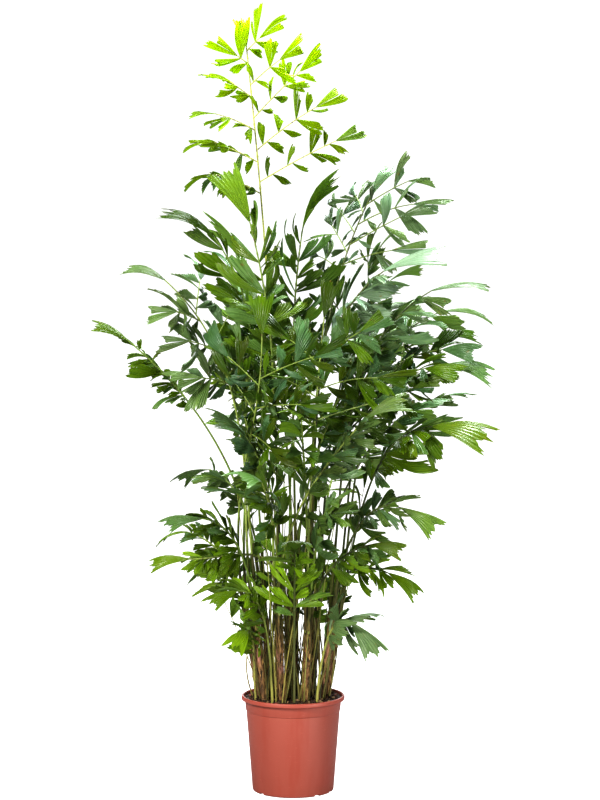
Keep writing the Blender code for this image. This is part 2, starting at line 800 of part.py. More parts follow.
def stalk_corners(bm, stalk, share, sides, shift=Vector()):
    """Upper right and left, lower left and right. A stalk of three sides has one upper corner."""
    place = stalk.place(share)
    place.point += shift
    radius = stalk.radius(share)
    if sides == 4:
        return [bm.verts.new(place.point + radius * way) for way in four_ways(place)]
    top = bm.verts.new(place.point + radius * place.up)
    low = [-0.5 * place.up - 0.87 * place.right, -0.5 * place.up + 0.87 * place.right]
    return [top, top, *(bm.verts.new(place.point + radius * way) for way in low)]


def stalk_skin(bm, stalk, sides, bare_shares):
    """Skins a stalk in one with its leaflets."""
    half_root = ROOT_WIDTH / 2 / stalk.length
    stations = [(share, None, None) for share in bare_shares]
    for share, left, right in stalk.pairs:
        stations += [(share - half_root, left, right), (share + half_root, None, None)]
    stations.append((1.0, None, None))
    rings = [stalk_corners(bm, stalk, station[0], sides) for station in stations]
    if stalk.sunk.length:
        stations.insert(0, (0.0, None, None))
        rings.insert(0, stalk_corners(bm, stalk, 0.0, sides, stalk.sunk))
    bm.faces.new([corner for i, corner in enumerate(rings[0]) if corner not in rings[0][:i]])
    for (_, left, right), low, high in zip(stations, rings, rings[1:]):
        upper_right, upper_left, lower_left, lower_right = zip(low, high)
        if sides == 4:
            bm.faces.new((upper_right[0], upper_right[1], upper_left[1], upper_left[0]))
        bm.faces.new((lower_left[0], lower_left[1], lower_right[1], lower_right[0]))
        for blade, upper, lower in ((left, upper_left, lower_left), (right, upper_right, lower_right)):
            if blade:
                blade_skin(bm, blade, (upper[0], lower[0]), (upper[1], lower[1]))
            else:
                bm.faces.new((upper[0], upper[1], lower[1], lower[0]))
    top_right, top_left, low_left, low_right = rings[-1]
    if stalk.end:
        blade_skin(bm, stalk.end, (top_left, low_left), (top_right, low_right))
    else:
        bm.faces.new([c for i, c in enumerate(rings[-1]) if c not in rings[-1][:i]])


def make_frond(name, stalk, plan, finish):
    bm = bmesh.new()
    stalk_skin(bm, stalk, 4, bare_shares(plan))
    frond = object_from(bm, name, finish)
    ribs = []
    for rib in stalk.ribs:
        bm = bmesh.new()
        stalk_skin(bm, rib, 3, (0.0,))
        ribs.append(object_from(bm, "rib", finish))
    if ribs:
        apply_boolean(frond, ribs, "UNION", "MANIFOLD")
    return frond


def grow_frond(space, stalk, plan, seed):
    if plan["rib"]:
        for number, rib in enumerate(stalk.ribs):
            grow_leaflets(space, rib, plan, RIB_BARE, plan["rib_pairs"], f"{seed} {number}")
        grow_leaflets(space, stalk, plan, 1.0, 0, seed)
    else:
        grow_leaflets(space, stalk, plan, plan["bare"], plan["pairs"], seed)


def main():
    clear_scene()
    terracotta = material("pot_plastic", (0.53, 0.10, 0.058), 0.45)
    peat = material("peat", (0.05, 0.03, 0.02), 0.95)
    fibre = material("cane_fibre", (0.16, 0.09, 0.05), 0.85)
    leaf = material("leaf", (0.07, 0.25, 0.02), 0.45)
    young_leaf = material("young_leaf", (0.28, 0.48, 0.01), 0.45)

    canes = [Cane(*numbers) for numbers in CANES]
    space, fronds = grow_stalks(canes)
    holes = []
    for name, stalk, plan in fronds:
        if name.startswith("sucker"):
            way = -stalk.sunk.normalized()
            bottom = stalk.line(0.0) + stalk.sunk - way * GAP
            hole = hole_radius(STALK_RADIUS, SEAT_SIDES)
            holes.append((bottom, way, 2 * SOIL_SEAT_DEPTH, hole, SEAT_SIDES))
    for cane in canes:
        hole = hole_radius(CANE_RADIUS, CANE_SIDES)
        holes.append((cane.foot - cane.axis * GAP, cane.axis, 2 * CANE_DEPTH, hole, CANE_SIDES))

    for name, stalk, plan in fronds:
        if plan["rib"]:
            grow_ribs(space, stalk, plan, name)
    for name, stalk, plan in fronds:
        grow_frond(space, stalk, plan, name)

    make_pot(terracotta)
    make_soil(peat, holes)
    for number, cane in enumerate(canes, 1):
        cane.make(f"cane_{number:02d}", fibre)
    for name, stalk, plan in fronds:
        make_frond(name, stalk, plan, young_leaf if name == "frond_01" else leaf)


main()
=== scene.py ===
"""Looks of the potted fishtail palm: fine leaflets, stalks, canes, soil and pot round the fixed frame."""

import math
import random
from dataclasses import dataclass

import bmesh
import bpy
import numpy as np
from mathutils import Matrix, Vector, noise
from mathutils.bvhtree import BVHTree


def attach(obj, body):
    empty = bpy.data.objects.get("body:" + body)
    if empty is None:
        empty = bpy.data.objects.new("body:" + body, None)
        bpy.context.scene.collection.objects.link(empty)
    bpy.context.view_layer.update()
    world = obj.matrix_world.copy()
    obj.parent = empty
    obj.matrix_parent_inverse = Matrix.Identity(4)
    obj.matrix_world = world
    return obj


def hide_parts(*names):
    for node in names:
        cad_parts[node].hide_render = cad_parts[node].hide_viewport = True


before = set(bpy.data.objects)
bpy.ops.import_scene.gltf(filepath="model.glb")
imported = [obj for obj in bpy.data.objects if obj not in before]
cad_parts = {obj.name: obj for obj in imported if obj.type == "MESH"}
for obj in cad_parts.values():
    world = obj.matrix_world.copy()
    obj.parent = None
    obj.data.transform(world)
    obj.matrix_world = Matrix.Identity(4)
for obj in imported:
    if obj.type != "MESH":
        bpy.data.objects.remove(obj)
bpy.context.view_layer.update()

UP = Vector((0.0, 0.0, 1.0))
BODY = "root"
SIDES = (-1, 1)  # left and right

GAP = 0.0003  # left between two pieces that touch

# Pot
POT_HEIGHT = 0.228
POT_FLOOR = 0.003
POT_WALL = 0.0028
POT_BASE_RADIUS = 0.0965
POT_WALL_RADIUS = 0.1148  # just under the rim
POT_BAND_HEIGHT = 0.024  # the slightly wider band below the rim
POT_BAND_STEP = 0.0015
RIM_RADIUS = 0.123
RIM_MOUTH_RADIUS = 0.1170
RIM_HEIGHT = 0.0105
RIM_ROUND = 0.002
RIM_BOTTOM = POT_HEIGHT - RIM_HEIGHT
MOUTH_BOTTOM = POT_HEIGHT - RIM_HEIGHT - RIM_ROUND  # where the inside starts to flare
BASE_CHAMFER = 0.004
BAND_EDGE = 0.0003  # half the height of the edge between wall and band
RIM_FILLET = 0.0012  # between wall and rim
DRAIN_ANGLES = (-51, 37, 68, 129, 217, 248)  # degrees from the front, round to the right
DRAIN_WIDTH = 0.016
DRAIN_HEIGHT = 0.004
DRAIN_DEPTH = 0.044
POT_ROUND = 160
POT_CREASE = 35  # degrees from which an edge is sharp
RIM_ARC = 7
QUARTER_STEPS = 4

# Soil
SOIL_TOP = 0.2225
SOIL_LUMP = 0.0022
LUMP_WAVES = ((83, 41, 0), (-37, 121, 0), (167, 131, 1))  # radians a metre right and back, and a shift
SOIL_ROUND = 128
SOIL_FINE_RINGS = 40
SOIL_GRAIN = 0.0026  # height of the fine relief
CRUMBS = 520
CRUMB_SIZES = (0.0012, 0.0042)
CRUMB_FORMS = ((0.5, 1.7), (0.6, 1.2), (0.4, 1.0))  # shares of the size, three ways
CRUMB_RISE = 0.3  # of its size, from the soil to a crumb's middle
STRANDS = 240
STRAND_RADIUS = 0.0005
STRAND_LENGTHS = (0.006, 0.022)
STRAND_ARCHES = (0.0005, 0.004)

# Canes: the place of each on the soil and of its head, and the head's height
CANES = (
    (-0.068, -0.034, -0.088, -0.048, 0.415),
    (-0.027, -0.060, -0.034, -0.088, 0.445),
    (0.030, -0.058, 0.036, -0.084, 0.400),
    (0.068, -0.030, 0.094, -0.044, 0.455),
    (0.078, 0.018, 0.104, 0.026, 0.385),
    (0.046, 0.062, 0.060, 0.084, 0.445),
    (-0.008, 0.078, -0.012, 0.104, 0.395),
    (-0.056, 0.056, -0.074, 0.074, 0.465),
    (-0.080, 0.008, -0.104, 0.012, 0.375),
    (-0.030, -0.018, -0.036, -0.028, 0.505),
    (0.030, -0.014, 0.038, -0.020, 0.535),
    (0.004, 0.032, 0.004, 0.042, 0.485),
)
CANE_SIDES = 8
CANE_RADIUS = 0.0082
CANE_HEAD_RADIUS = 0.0125
CANE_SHEATHS = 2
CANE_SHEATH_FLARE = 0.0018
CANE_DEPTH = 0.045  # how far a cane stands in the soil
SEATS_PER_CANE = 3
SEAT_RADIUS = 0.0068  # from a cane's axis to each leaf stalk
SEAT_DEPTH = 0.012
SOIL_SEAT_DEPTH = 0.030
SUCKER_SPREAD = 0.8  # how far a sucker leans out, for each metre from the middle
SEAT_SHARE = 0.24  # of a tip's distance out, where its seat is looked for
FACING_OUT = 0.52  # how far the upper side of a leaf stalk looks out
FACING_UP = 0.85  # and up
SHORTEST_RISE = 0.10  # how far a leaf stalk's first bend reaches up at least
RISE = 0.42  # of the way to its tip, what the first bend reaches otherwise
ARCH = 0.34  # of the same way, what the last bend reaches back

# Leaf stalks, ribs and leaflets
STALK_RADIUS = 0.0033
STALK_TIP_RADIUS = 0.0014
RIB_RADIUS = 0.0015
RIB_TIP_RADIUS = 0.0011
RIB_BARE = 0.40  # share of a side rib below its first leaflets
CROWN_SPREAD = (1.58, 0.43)  # length of the crown's lowest and highest ribs, as a share
CROWN_TURN = 75  # degrees by which the crown's left leaflets are turned up on edge
RIB_LEAN = 0.20  # share by which the right ribs are longer than the middle, and the left shorter
RIB_SINK = 0.0004  # of a side rib's root below the middle of its stalk
RIBS_APART = 0.012  # half the share of a stalk between its left and right rib
RIB_ANGLES = (58, 14)  # degrees from the stalk for the lowest ribs, and how much less at its end
RIB_PLAY = (6, 1.5)  # degrees, and what each further try adds
RIB_SWELL = (0.72, 0.34)  # length of the first ribs and what the middle ones have more, as shares
RIB_LENGTHS = (0.9, 1.1)
RIB_DROOP = (0.05, 0.22)
BARE_STEPS = 5  # lengths that the bare part of a leaf stalk is made of
LAST_LEAFLETS = 0.93  # share of a stalk that carries leaflets at most
FOLD = 0.35  # how far a leaflet's edges sink, as a share of its width
BLADE_THICKNESS = 0.0022  # at the fold in the middle, tapering to the edge
BLADE_MIDDLE = (0.48, 0.0)
CLEARANCE = 0.0012  # kept round the blades and canes
STALK_CLEARANCE = 0.0014  # kept round the stalks
TIP_SHIFT = 0.0012  # how far a frond's tip may move at each further try
TRIES = 26
STALK_TRIES = 60
SEATS_TRIED = 5
STARTS = 30

# Outlines run round from the root, as shares of a leaflet's length and width
SIDE_OUTLINE = ((0.52, -0.42), (1.00, -0.40), (0.85, -0.10), (0.84, 0.16), (0.60, 0.46))
RIB_END_OUTLINE = ((0.60, -0.40), (1.00, -0.52), (0.85, -0.02), (0.93, 0.44), (0.58, 0.38))
END_OUTLINE = (
    (0.60, -0.40),
    (0.97, -0.56),
    (0.85, -0.20),
    (0.94, -0.02),
    (0.83, 0.20),
    (1.00, 0.52),
    (0.62, 0.38),
)
MIRRORED = 0.3  # share of the side leaflets whose outline is turned over

# How leaflets are drawn. angles are the degrees from the stalk at its foot and how much less at its
# end, play and roll are degrees both ways, and length, pitch, width and bend are spans. Each further
# try has a wider play, by turn, and a shorter length, by less
SIDE_LEAFLETS = dict(
    angles=(62, 20), play=7, length=(0.92, 1.08), pitch=(-34, 14), roll=50,
    width=(0.92, 1.10), bend=(0.10, 0.38), turn=3.4, less=0.009, widest=95,
)
ADDED_LEAFLETS = dict(
    angles=(66, 22), play=8, length=(0.80, 1.05), pitch=(-36, 16), roll=55,
    width=(0.92, 1.10), bend=(0.10, 0.38), turn=5.0, less=0.025, widest=100,
)
END_LEAFLETS = dict(
    length=(0.92, 1.10), pitch=(-16, 4), roll=12,
    width=(0.95, 1.10), bend=(0.12, 0.34), turn=3.0, less=0.009,
)
NARROWEST = 25  # degrees from a stalk to its leaflets
END_WIDER = 0.10  # what is added to the ratio of width to length of an end leaflet
PAIR_SWELL = (0.80, 0.24)  # length of the first leaflets and what the middle ones have more, as shares

# How each kind of frond is divided. bare is the share of the stalk below the first pair, pairs are
# leaflets on a frond divided once, and side ribs with rib_pairs of leaflets on one divided twice
PLANS = {
    "crown": dict(bare=0.70, top=1.02, pairs=5, rib=0.120, rib_pairs=1, leaflet=0.084, ratio=0.40, lift=0.30),
    "twice": dict(bare=0.60, top=0.92, pairs=3, rib=0.130, rib_pairs=1, leaflet=0.098, ratio=0.44, lift=0.14),
    "upper": dict(bare=0.76, top=1.00, pairs=4, rib=0.130, rib_pairs=1, leaflet=0.098, ratio=0.34, lift=0.00),
    "once": dict(bare=0.50, pairs=4, rib=0.0, leaflet=0.114, ratio=0.46),
    "large": dict(bare=0.55, pairs=4, rib=0.0, leaflet=0.146, ratio=0.44),
    "sparse": dict(bare=0.70, pairs=4, rib=0.0, leaflet=0.088, ratio=0.42),
    "small": dict(bare=0.45, pairs=3, rib=0.0, leaflet=0.088, ratio=0.48),
}

# Fronds: the end of the midrib, the slope there in degrees, the compass way that the upper side
# leans to, in degrees from the front round to the right, and the plan
FRONDS = (
    (-0.110, 0.020, 1.765, 83, 0, "crown"),
    (0.185, 0.040, 1.415, 62, 335, "upper"),
    (-0.185, -0.030, 1.315, 52, 20, "large"),
    (-0.100, -0.100, 1.350, 70, 0, "large"),
    (-0.300, -0.050, 1.215, 42, 30, "twice"),
    (-0.372, 0.000, 1.090, 42, 20, "sparse"),
    (-0.050, -0.170, 1.110, 80, 0, "twice"),
    (0.072, -0.170, 1.130, 76, 0, "twice"),
    (0.165, -0.210, 0.900, 46, 330, "once"),
    (0.135, -0.110, 1.010, 58, 340, "once"),
    (0.345, 0.010, 1.080, 26, 330, "twice"),
    (0.322, -0.090, 1.190, 30, 330, "large"),
    (0.345, -0.100, 1.015, 20, 320, "once"),
    (0.250, -0.150, 0.690, -16, 330, "once"),
    (0.225, -0.090, 0.530, -20, 320, "small"),
    (0.180, -0.190, 0.610, 12, 330, "small"),
    (-0.245, -0.060, 0.560, 4, 30, "small"),
    (-0.255, 0.060, 0.610, 12, 30, "small"),
    (0.210, -0.110, 1.235, 34, 340, "large"),
    (0.360, 0.100, 1.140, 18, 320, "large"),
    (0.320, -0.180, 0.880, 4, 340, "large"),
    (-0.105, -0.130, 1.000, 56, 20, "twice"),
    (-0.110, -0.180, 0.860, 40, 20, "once"),
    (0.020, -0.250, 0.900, 52, 0, "once"),
    (-0.070, -0.260, 0.760, 34, 10, "once"),
    (0.080, -0.240, 0.700, 32, 350, "once"),
    (-0.215, -0.140, 0.665, 6, 20, "small"),
    (0.025, 0.100, 1.350, 60, 180, "large"),
    (-0.120, 0.190, 1.250, 56, 200, "large"),
    (0.240, 0.220, 1.215, 42, 160, "twice"),
    (0.020, 0.340, 1.040, 30, 180, "twice"),
    (-0.120, 0.250, 1.050, 28, 210, "large"),
    (0.350, 0.210, 0.920, 18, 130, "once"),
    (-0.150, 0.360, 0.860, 14, 200, "once"),
    (0.140, 0.340, 0.800, 12, 160, "once"),
    (-0.205, 0.180, 0.750, 14, 220, "once"),
)
CROWN = "frond_01"

# Sucker fronds: the place on the soil first, then as above
SUCKERS = (
    (-0.086, -0.033, -0.105, -0.110, 0.400, 10, 20, "small"),
    (-0.047, -0.078, -0.130, -0.170, 0.500, 0, 20, "small"),
    (0.003, -0.092, 0.005, -0.205, 0.600, 45, 0, "once"),
    (0.055, -0.073, 0.135, -0.190, 0.430, -20, 340, "once"),
    (0.023, 0.088, 0.060, 0.230, 0.460, 0, 180, "once"),
    (-0.085, 0.034, -0.190, 0.190, 0.520, 0, 210, "once"),
    (0.082, 0.041, 0.145, 0.165, 0.520, 0, 140, "small"),
)

# Fine leaflets, each a thin closed sheet of rays that fan out from its root
RAYS = 17
RAY_STEPS = 7
LOBE_RAYS = 10
SPLIT_LENGTH = 0.070  # the length from which a leaflet may be split in two
SPLIT_SHARE = 0.85  # of the leaflets of such a length
WHOLE_RIGHT = 0.30  # how far right the leaflets are broad and whole
SPLIT_PLACES = (0.36, 0.64)  # shares of its width
CLEFT = 0.03  # half the share of a leaflet's width that the split takes
LONG_LOBE = (0.92, 1.0)  # share of the leaflet's length
SHORT_LOBE = (0.60, 0.84)
NOTCHES = ((0.0, 0.04), (0.05, 0.13))  # shares of its length that rays are short of, by turns
DEEP_NOTCHES = 2
DEEPEST_NOTCH = 0.12  # more than the others
CORNER_NOTCH = 0.07  # share by which a leaflet's outer corners are blunted
LOBE_TILT = (0.12, 0.42)  # radians about its own middle line
LEAF_THICKNESS = 0.0005
ROOT_THICKNESS = 0.0016
ROOT_SHARE = 0.07  # of the leaflet's width, at its root
PLEAT = 0.0009
PLEAT_START = 0.4  # share of its length where a pleat has its full depth
EDGE_WAVE = 0.0026
EDGE_WAVES = (0.8, 2.2)  # across a leaflet
TWIST = 0.3
DROOP = (0.20, 0.80)
DROOP_START = 0.45  # share of a leaflet's length
LEAF_TRIES = 14  # for the leaflets that the frame leaves out
SHORT_RIB = 0.115
SHORT_RIB_SHARES = (0.14,)  # where leaflets are added on side ribs
LONG_RIB_SHARES = (0.14, 0.40, 0.88)
ADDED_SIZES = {"crown": 0.70, "upper": 0.58, "twice": 0.72}  # length on ribs, as a share
BETWEEN_SIZE = 0.82  # length of the leaflets added between the frame's pairs
SMALL_SIZE = 0.55  # and of those between them again
ADDED_APART = 0.03  # half the share of a stalk between an added left and right leaflet
LAST_ADDED = 0.97  # share of a stalk where the last of them may stand
FORMS = {  # the left corner, the tips and the right corner of each outline
    SIDE_OUTLINE: (SIDE_OUTLINE[0], SIDE_OUTLINE[1:], (0.34, 0.28)),
    RIB_END_OUTLINE: (RIB_END_OUTLINE[0], RIB_END_OUTLINE[1:4], RIB_END_OUTLINE[4]),
    END_OUTLINE: (END_OUTLINE[0], END_OUTLINE[1:6], END_OUTLINE[6]),
}

# Fine stalks
STALK_SIDES = 8
STALK_RINGS = 34
RIB_SIDES = 6
RIB_RINGS = 12
KNUCKLE = 0.55  # share by which a stalk swells at its leaflets
KNUCKLE_LENGTH = 0.0035
CREASE = 50  # degrees from which an edge of a leaf, stalk, cane or the soil is sharp

# Fine canes
CANE_ROUND = 20
CANE_RINGS = 44
CORE_RADIUS = 0.74 * CANE_RADIUS
CORE_ROUGH = 0.19  # share by which the core's radius varies
CORE_RIDGES = (0.05, 0.04)  # shares of its three broad and seven fine ridges
CORE_TOP = (0.93, 0.55)  # the share of the length where it narrows, and by how much
SHEATH_HEIGHTS = (0.30, 0.52, 0.74, 0.95)
SHEATH_LENGTH = 0.075
SHEATH_THICKNESS = 0.0007
SHEATH_STEPS = 6
SHEATH_TURN = 0.93  # of the way round its cane
SHEATH_FLARE = (0.0010, 0.0022, 0.0007)  # from the core at its foot, more at its top, and its wave
SHEATH_EDGE = (-0.010, 0.016)  # how ragged its top is
FIBRES = 54
FIBRE_RADII = (0.0006, 0.0006, 0.0005, 0.0005, 0.0004, 0.0002)
FIBRE_STARTS = (0.12, 0.90)  # shares of the cane's length
FIBRE_LENGTHS = (0.02, 0.07)
FIBRE_BOWS = (0.0005, 0.016)
FIBRE_LIFT = 0.0012  # from the core
PETIOLES = 3
PETIOLE_START = 0.08
PETIOLE_ENDS = (0.80, 1.0)
PETIOLE_BOWS = (0.0005, 0.014)
PETIOLE_LIFT = 0.0018
PETIOLE_RADII = (0.0021, 0.0013)
PETIOLE_RINGS = 16
LEAF_BASE = 0.0058  # radius of a leaf stalk's sheath at the cane's head
LEAF_BASE_STEPS = 11
LEAF_BASE_SHARE = 0.16  # of the leaf stalk's length
LEAF_BASE_SINK = 0.004
HEAD_REACH = 0.02  # from a cane's head to the feet of its leaf stalks

# Thin young stems between the canes
SHOOTS = 64
SHOOT_TRIES = 12
SHOOT_CIRCLES = 5  # times that they go round the middle
SHOOT_SIDES = 6
SHOOT_RINGS = 14
SHOOT_RADII = (0.0013, 0.0025)
SHOOT_FEET = (0.015, 0.094)  # how far from the middle of the soil they stand
SHOOT_DEPTH = 0.008
SHOOT_HEIGHTS = (0.20, 0.52)
SHOOT_SPREAD = (1.15, 1.75)  # distance out of a tip, as a share of that of its foot
SHOOT_SWAY = (0.10, 0.06)  # how far a tip may be from there, to the side and back
SHOOT_BEND = 0.012
SHOOT_PLAN = dict(bare=0.80, pairs=1, leaflet=0.062, ratio=0.40)

# Tones
PAINTED_SHEEN_FRONDS = {  # how much painted sky reflection their leaves take
    "frond_02": 0.30,
    "frond_05": 0.30,
    "frond_12": 0.26,
    "frond_19": 0.62,
    "frond_20": 0.20,
    "sucker_frond_04": 0.40,
}
CROWN_GREEN = 1.42  # the height from which the crown's leaves turn yellow: their young colour, and painted light shining through them
CROWN_FADE = 0.28  # the height over which they do
YELLOWS = (0.0, 0.30)
LOW_LEAVES = 0.58  # the height under which leaves are yellower
LOW_YELLOWS = (0.1, 0.3, 0.4, 0.75)
PAINTED_SHADE_RIGHT = 0.17  # how far right a frond's tip is when its stalk gets painted shade
PAINTED_STALK_SHADE = 0.75  # how dark the painted shade on such a stalk is
SHOOT_SHADES = (0.0, 0.0, 0.4, 0.9)
# stalks that get the same painted shade wherever they stand
PAINTED_SHADE_STALKS = ("sucker_frond_03",)
LEAF_GLOW = 0.29  # share of light that a leaf's surface lets through
EVEN = (1.0, 1.0, 1.0)
WHITE = (1.0, 1.0, 1.0, 1.0)

# Studio
WORLD_LIGHT = 0.01
FLOOR_GREY = (0.25, 0.25, 0.25, 1.0)
FLOOR_GLOW = 1.05
EXPOSURE = 0.26
CONTRAST = 0.80  # under 1 darkens the shadows
SENSOR = 36.0
IMAGE_HEIGHT = 800
FOCAL_PIXELS = 2115.0
CAMERA_PLACE = (0.0165, -5.0, 1.20)
CAMERA_DOWN = 3.08  # degrees below level

# Lights: the name, the place, the point aimed at, the size, the power and the colour
LIGHTS = (
    ("key", (-2.4, -3.0, 3.0), (0.0, 0.0, 1.0), 1.0, 212.0, (1.0, 0.98, 0.94)),
    ("top", (0.5, 0.4, 3.6), (0.05, 0.0, 1.0), 1.1, 228.0, (0.92, 0.97, 1.0)),
    ("fill", (3.0, -2.4, 1.6), (0.0, 0.0, 0.9), 1.6, 12.0, (1.0, 1.0, 1.0)),
    ("low right", (2.3, -2.2, 0.5), (0.03, 0.0, 0.22), 0.8, 52.0, (1.0, 0.98, 0.94)),
    ("low left", (-1.3, -3.0, 0.8), (0.0, 0.0, 0.42), 0.8, 34.0, (1.0, 0.98, 0.92)),
    ("back", (0.2, 3.2, 2.3), (0.0, 0.0, 1.1), 2.8, 120.0, (0.90, 0.96, 1.0)),
)


def lump(x, y):
    """The height of the soil's lumps at a point, from crossing waves."""
    waves = [math.sin(right * x + back * y + shift) for right, back, shift in LUMP_WAVES]
    return SOIL_LUMP * sum(waves) / len(waves)


def wall_radius(height):
    """The pot's outer radius below the band, at a height."""
    share = height / RIM_BOTTOM
    return POT_BASE_RADIUS + (POT_WALL_RADIUS - POT_BASE_RADIUS) * share


def mouth_radius(height):
    """The inner radius of the pot's flared mouth, at a height."""
    inside = wall_radius(RIM_BOTTOM) - POT_WALL
    share = (height - MOUTH_BOTTOM) / (POT_HEIGHT - MOUTH_BOTTOM)
    return inside + (RIM_MOUTH_RADIUS - inside) * share


class Cane:
    """A fibrous cane, which leans out from the soil to its head."""

    def __init__(self, foot_x, foot_y, head_x, head_y, head_z):
        self.head = Vector((head_x, head_y, head_z))
        surface = Vector((foot_x, foot_y, SOIL_TOP))
        self.axis = (self.head - surface).normalized()
        self.foot = surface - self.axis * CANE_DEPTH
        self.length = (self.head - self.foot).length
        self.side = self.axis.orthogonal().normalized()
        self.across = self.axis.cross(self.side)

    def rings(self):
        """Distances along the cane and the radius at each, flared at the end of each sheath."""
        bare = CANE_DEPTH + SOIL_LUMP
        step = (self.length - bare) / CANE_SHEATHS
        found = [(0.0, CANE_RADIUS), (bare, CANE_RADIUS)]
        for i in range(1, CANE_SHEATHS):
            found.append((bare + i * step, CANE_RADIUS + CANE_SHEATH_FLARE))
            found.append((bare + i * step + CANE_SHEATH_FLARE, CANE_RADIUS))
        found.append((self.length - 2 * SEAT_DEPTH, CANE_RADIUS + CANE_SHEATH_FLARE))
        found.append((self.length, CANE_HEAD_RADIUS))
        return found

    def seat(self, number):
        """Where a leaf stalk stands in the head."""
        spin = Matrix.Rotation(math.tau * number / SEATS_PER_CANE, 3, self.axis)
        return self.head + spin @ self.side * SEAT_RADIUS - self.axis * SEAT_DEPTH

    def out(self, angle):
        return math.cos(angle) * self.side + math.sin(angle) * self.across

    def point(self, angle, share, radius):
        """A point round the cane, at a share of its length."""
        return self.foot + self.axis * self.length * share + self.out(angle) * radius

    def line(self, angle, turn, start, rise, radius, bulge):
        """A line up the cane that turns round it. bulge gives its distance from a radius."""

        def line(t):
            return self.point(angle + turn * t, start + rise * t, radius + bulge(t))

        return line

    def shape(self, owner):
        angles = [math.tau * (i + 0.5) / CANE_SIDES for i in range(CANE_SIDES)]
        rings = []
        for along, radius in self.rings():
            centre = self.foot + self.axis * along
            rings.append([centre + (radius + CLEARANCE) * self.out(angle) for angle in angles])
        return tube_shape(rings, owner)


class Shape:
    """A stand-in for a placed piece, slightly fatter than it, to test what crosses what."""

    def __init__(self, points, faces, owner):
        self.tree = BVHTree.FromPolygons(points, faces)
        self.low = [min(p[i] for p in points) for i in range(3)]
        self.high = [max(p[i] for p in points) for i in range(3)]
        self.owner = owner


def tube_shape(rings, owner):
    sides = len(rings[0])
    faces = []
    for r in range(len(rings) - 1):
        for i in range(sides):
            j = (i + 1) % sides
            low = r * sides
            faces.append((low + i, low + j, low + sides + j, low + sides + i))
    return Shape([p for ring in rings for p in ring], faces, owner)


class Space:
    """What is already placed."""

    def __init__(self):
        self.shapes = []
        self.lows = []
        self.highs = []

    def add(self, shape):
        self.shapes.append(shape)
        self.lows.append(shape.low)
        self.highs.append(shape.high)

    def free(self, shape, skipped):
        apart = (np.array(self.lows) > shape.high) | (np.array(self.highs) < shape.low)
        near = [self.shapes[i] for i in np.flatnonzero(~apart.any(axis=1))]
        return not any(o.owner not in skipped and shape.tree.overlap(o.tree) for o in near)

    def fit(self, owner, skipped, limit, make, *values):
        """Tries small changes to a shape until it crosses nothing, and keeps its place."""
        for attempt in range(limit):
            made = make(*values, attempt)
            shape = made.shape(owner)
            if self.free(shape, skipped):
                self.add(shape)
                return made
        return None


class Place:
    """A point on a stalk, with the ways along it, to its right and to its upper side."""

    def __init__(self, point, along, facing):
        self.point = point
        self.along = along
        self.right = along.cross(facing).normalized()
        self.up = self.right.cross(along)

    def out(self, side, angle):
        """The way that leaves the stalk at an angle, to the left (-1) or right (1)."""
        return self.along * math.cos(angle) + side * self.right * math.sin(angle)

    def raised(self, way, pitch):
        return (way * math.cos(pitch) + self.up * math.sin(pitch)).normalized()

    def corners(self):
        """The ways to a stalk's corners: upper right and left, lower left and right."""
        half = math.sqrt(0.5)
        return (
            half * (self.right + self.up),
            half * (self.up - self.right),
            -half * (self.right + self.up),
            half * (self.right - self.up),
        )


class Stalk:
    """A leaf stalk or side rib: a smooth line, the way it faces and its thickness."""

    def __init__(self, line, facing, radii, owner, shares):
        self.line = line
        self.facing = facing
        self.radii = radii
        self.owner = owner
        self.shares = shares  # of its length, where it has a corner
        self.pairs = []  # (share of the length, left leaflet, right leaflet)
        self.end = None
        self.ribs = []
        self.knots = []  # shares of the length where its ribs stand
        self.sunk = Vector()  # from the stalk's start to the bottom of its hole
        self.length = sum((line((i + 1) / 8) - line(i / 8)).length for i in range(8))

    def place(self, share):
        step = 0.01
        along = self.line(share + step) - self.line(share - step)
        return Place(self.line(share), along.normalized(), self.facing)

    def radius(self, share):
        return self.radii[0] + (self.radii[1] - self.radii[0]) * share

    def shape(self, owner):
        rings = []
        for share in self.shares:
            place = self.place(share)
            radius = self.radius(share) + STALK_CLEARANCE
            rings.append([place.point + radius * way for way in place.corners()])
        return tube_shape(rings, owner)

    def blades(self):
        """Its leaflets with their numbers, apart from those that found no place."""
        blades = [blade for pair in self.pairs for blade in pair[1:]] + [self.end]
        return [(i, blade) for i, blade in enumerate(blades) if blade]


def bezier(first, second, third, fourth):
    def line(t):
        s = 1 - t
        return s**3 * first + 3 * s * s * t * second + 3 * s * t * t * third + t**3 * fourth

    return line


def drooping(base, along, length, droop):
    """A line that leaves base along a way and sinks by a share of its length."""

    def line(t):
        return base + along * length * t - UP * droop * length * t * t

    return line


@dataclass
class Blade:
    """A fishtail leaflet: its root, its own axes, and its outline in them."""

    root: Vector
    height: float  # of the root, half of it
    along: Vector
    across: Vector
    up: Vector
    length: float
    width: float
    outline: tuple
    bend: float

    def point(self, u, v, lift):
        """A point of the blade, bent down along its length and folded down at its sides."""
        sink = self.bend * self.length * u * u + FOLD * self.width * v * v
        flat = self.along * self.length * u + self.across * self.width * v
        return self.root + flat + self.up * (lift - sink)

    def shape(self, owner):
        """A lens a little larger than the blade."""
        points = []
        faces = []
        for side in SIDES:
            first = len(points)
            root_lift = side * (self.height + CLEARANCE)
            points.append(self.point(*BLADE_MIDDLE, side * (BLADE_THICKNESS / 2 + CLEARANCE)))
            points.append(self.point(0.0, -0.08, root_lift))
            points += [self.point(u * 1.02, v * 1.05, side * CLEARANCE) for u, v in self.outline]
            points.append(self.point(0.0, 0.08, root_lift))
            last = len(points) - 1
            faces += [(first, i, i + 1) for i in range(first + 1, last)] + [(first, last, first + 1)]
        half = len(points) // 2
        faces += [(i, i + 1, half + i + 1, half + i) for i in range(1, half - 1)]
        faces.append((half - 1, 1, half + 1, 2 * half - 1))
        return Shape(points, faces, owner)


def turned(way, axis, degrees):
    return Matrix.Rotation(math.radians(degrees), 3, axis) @ way


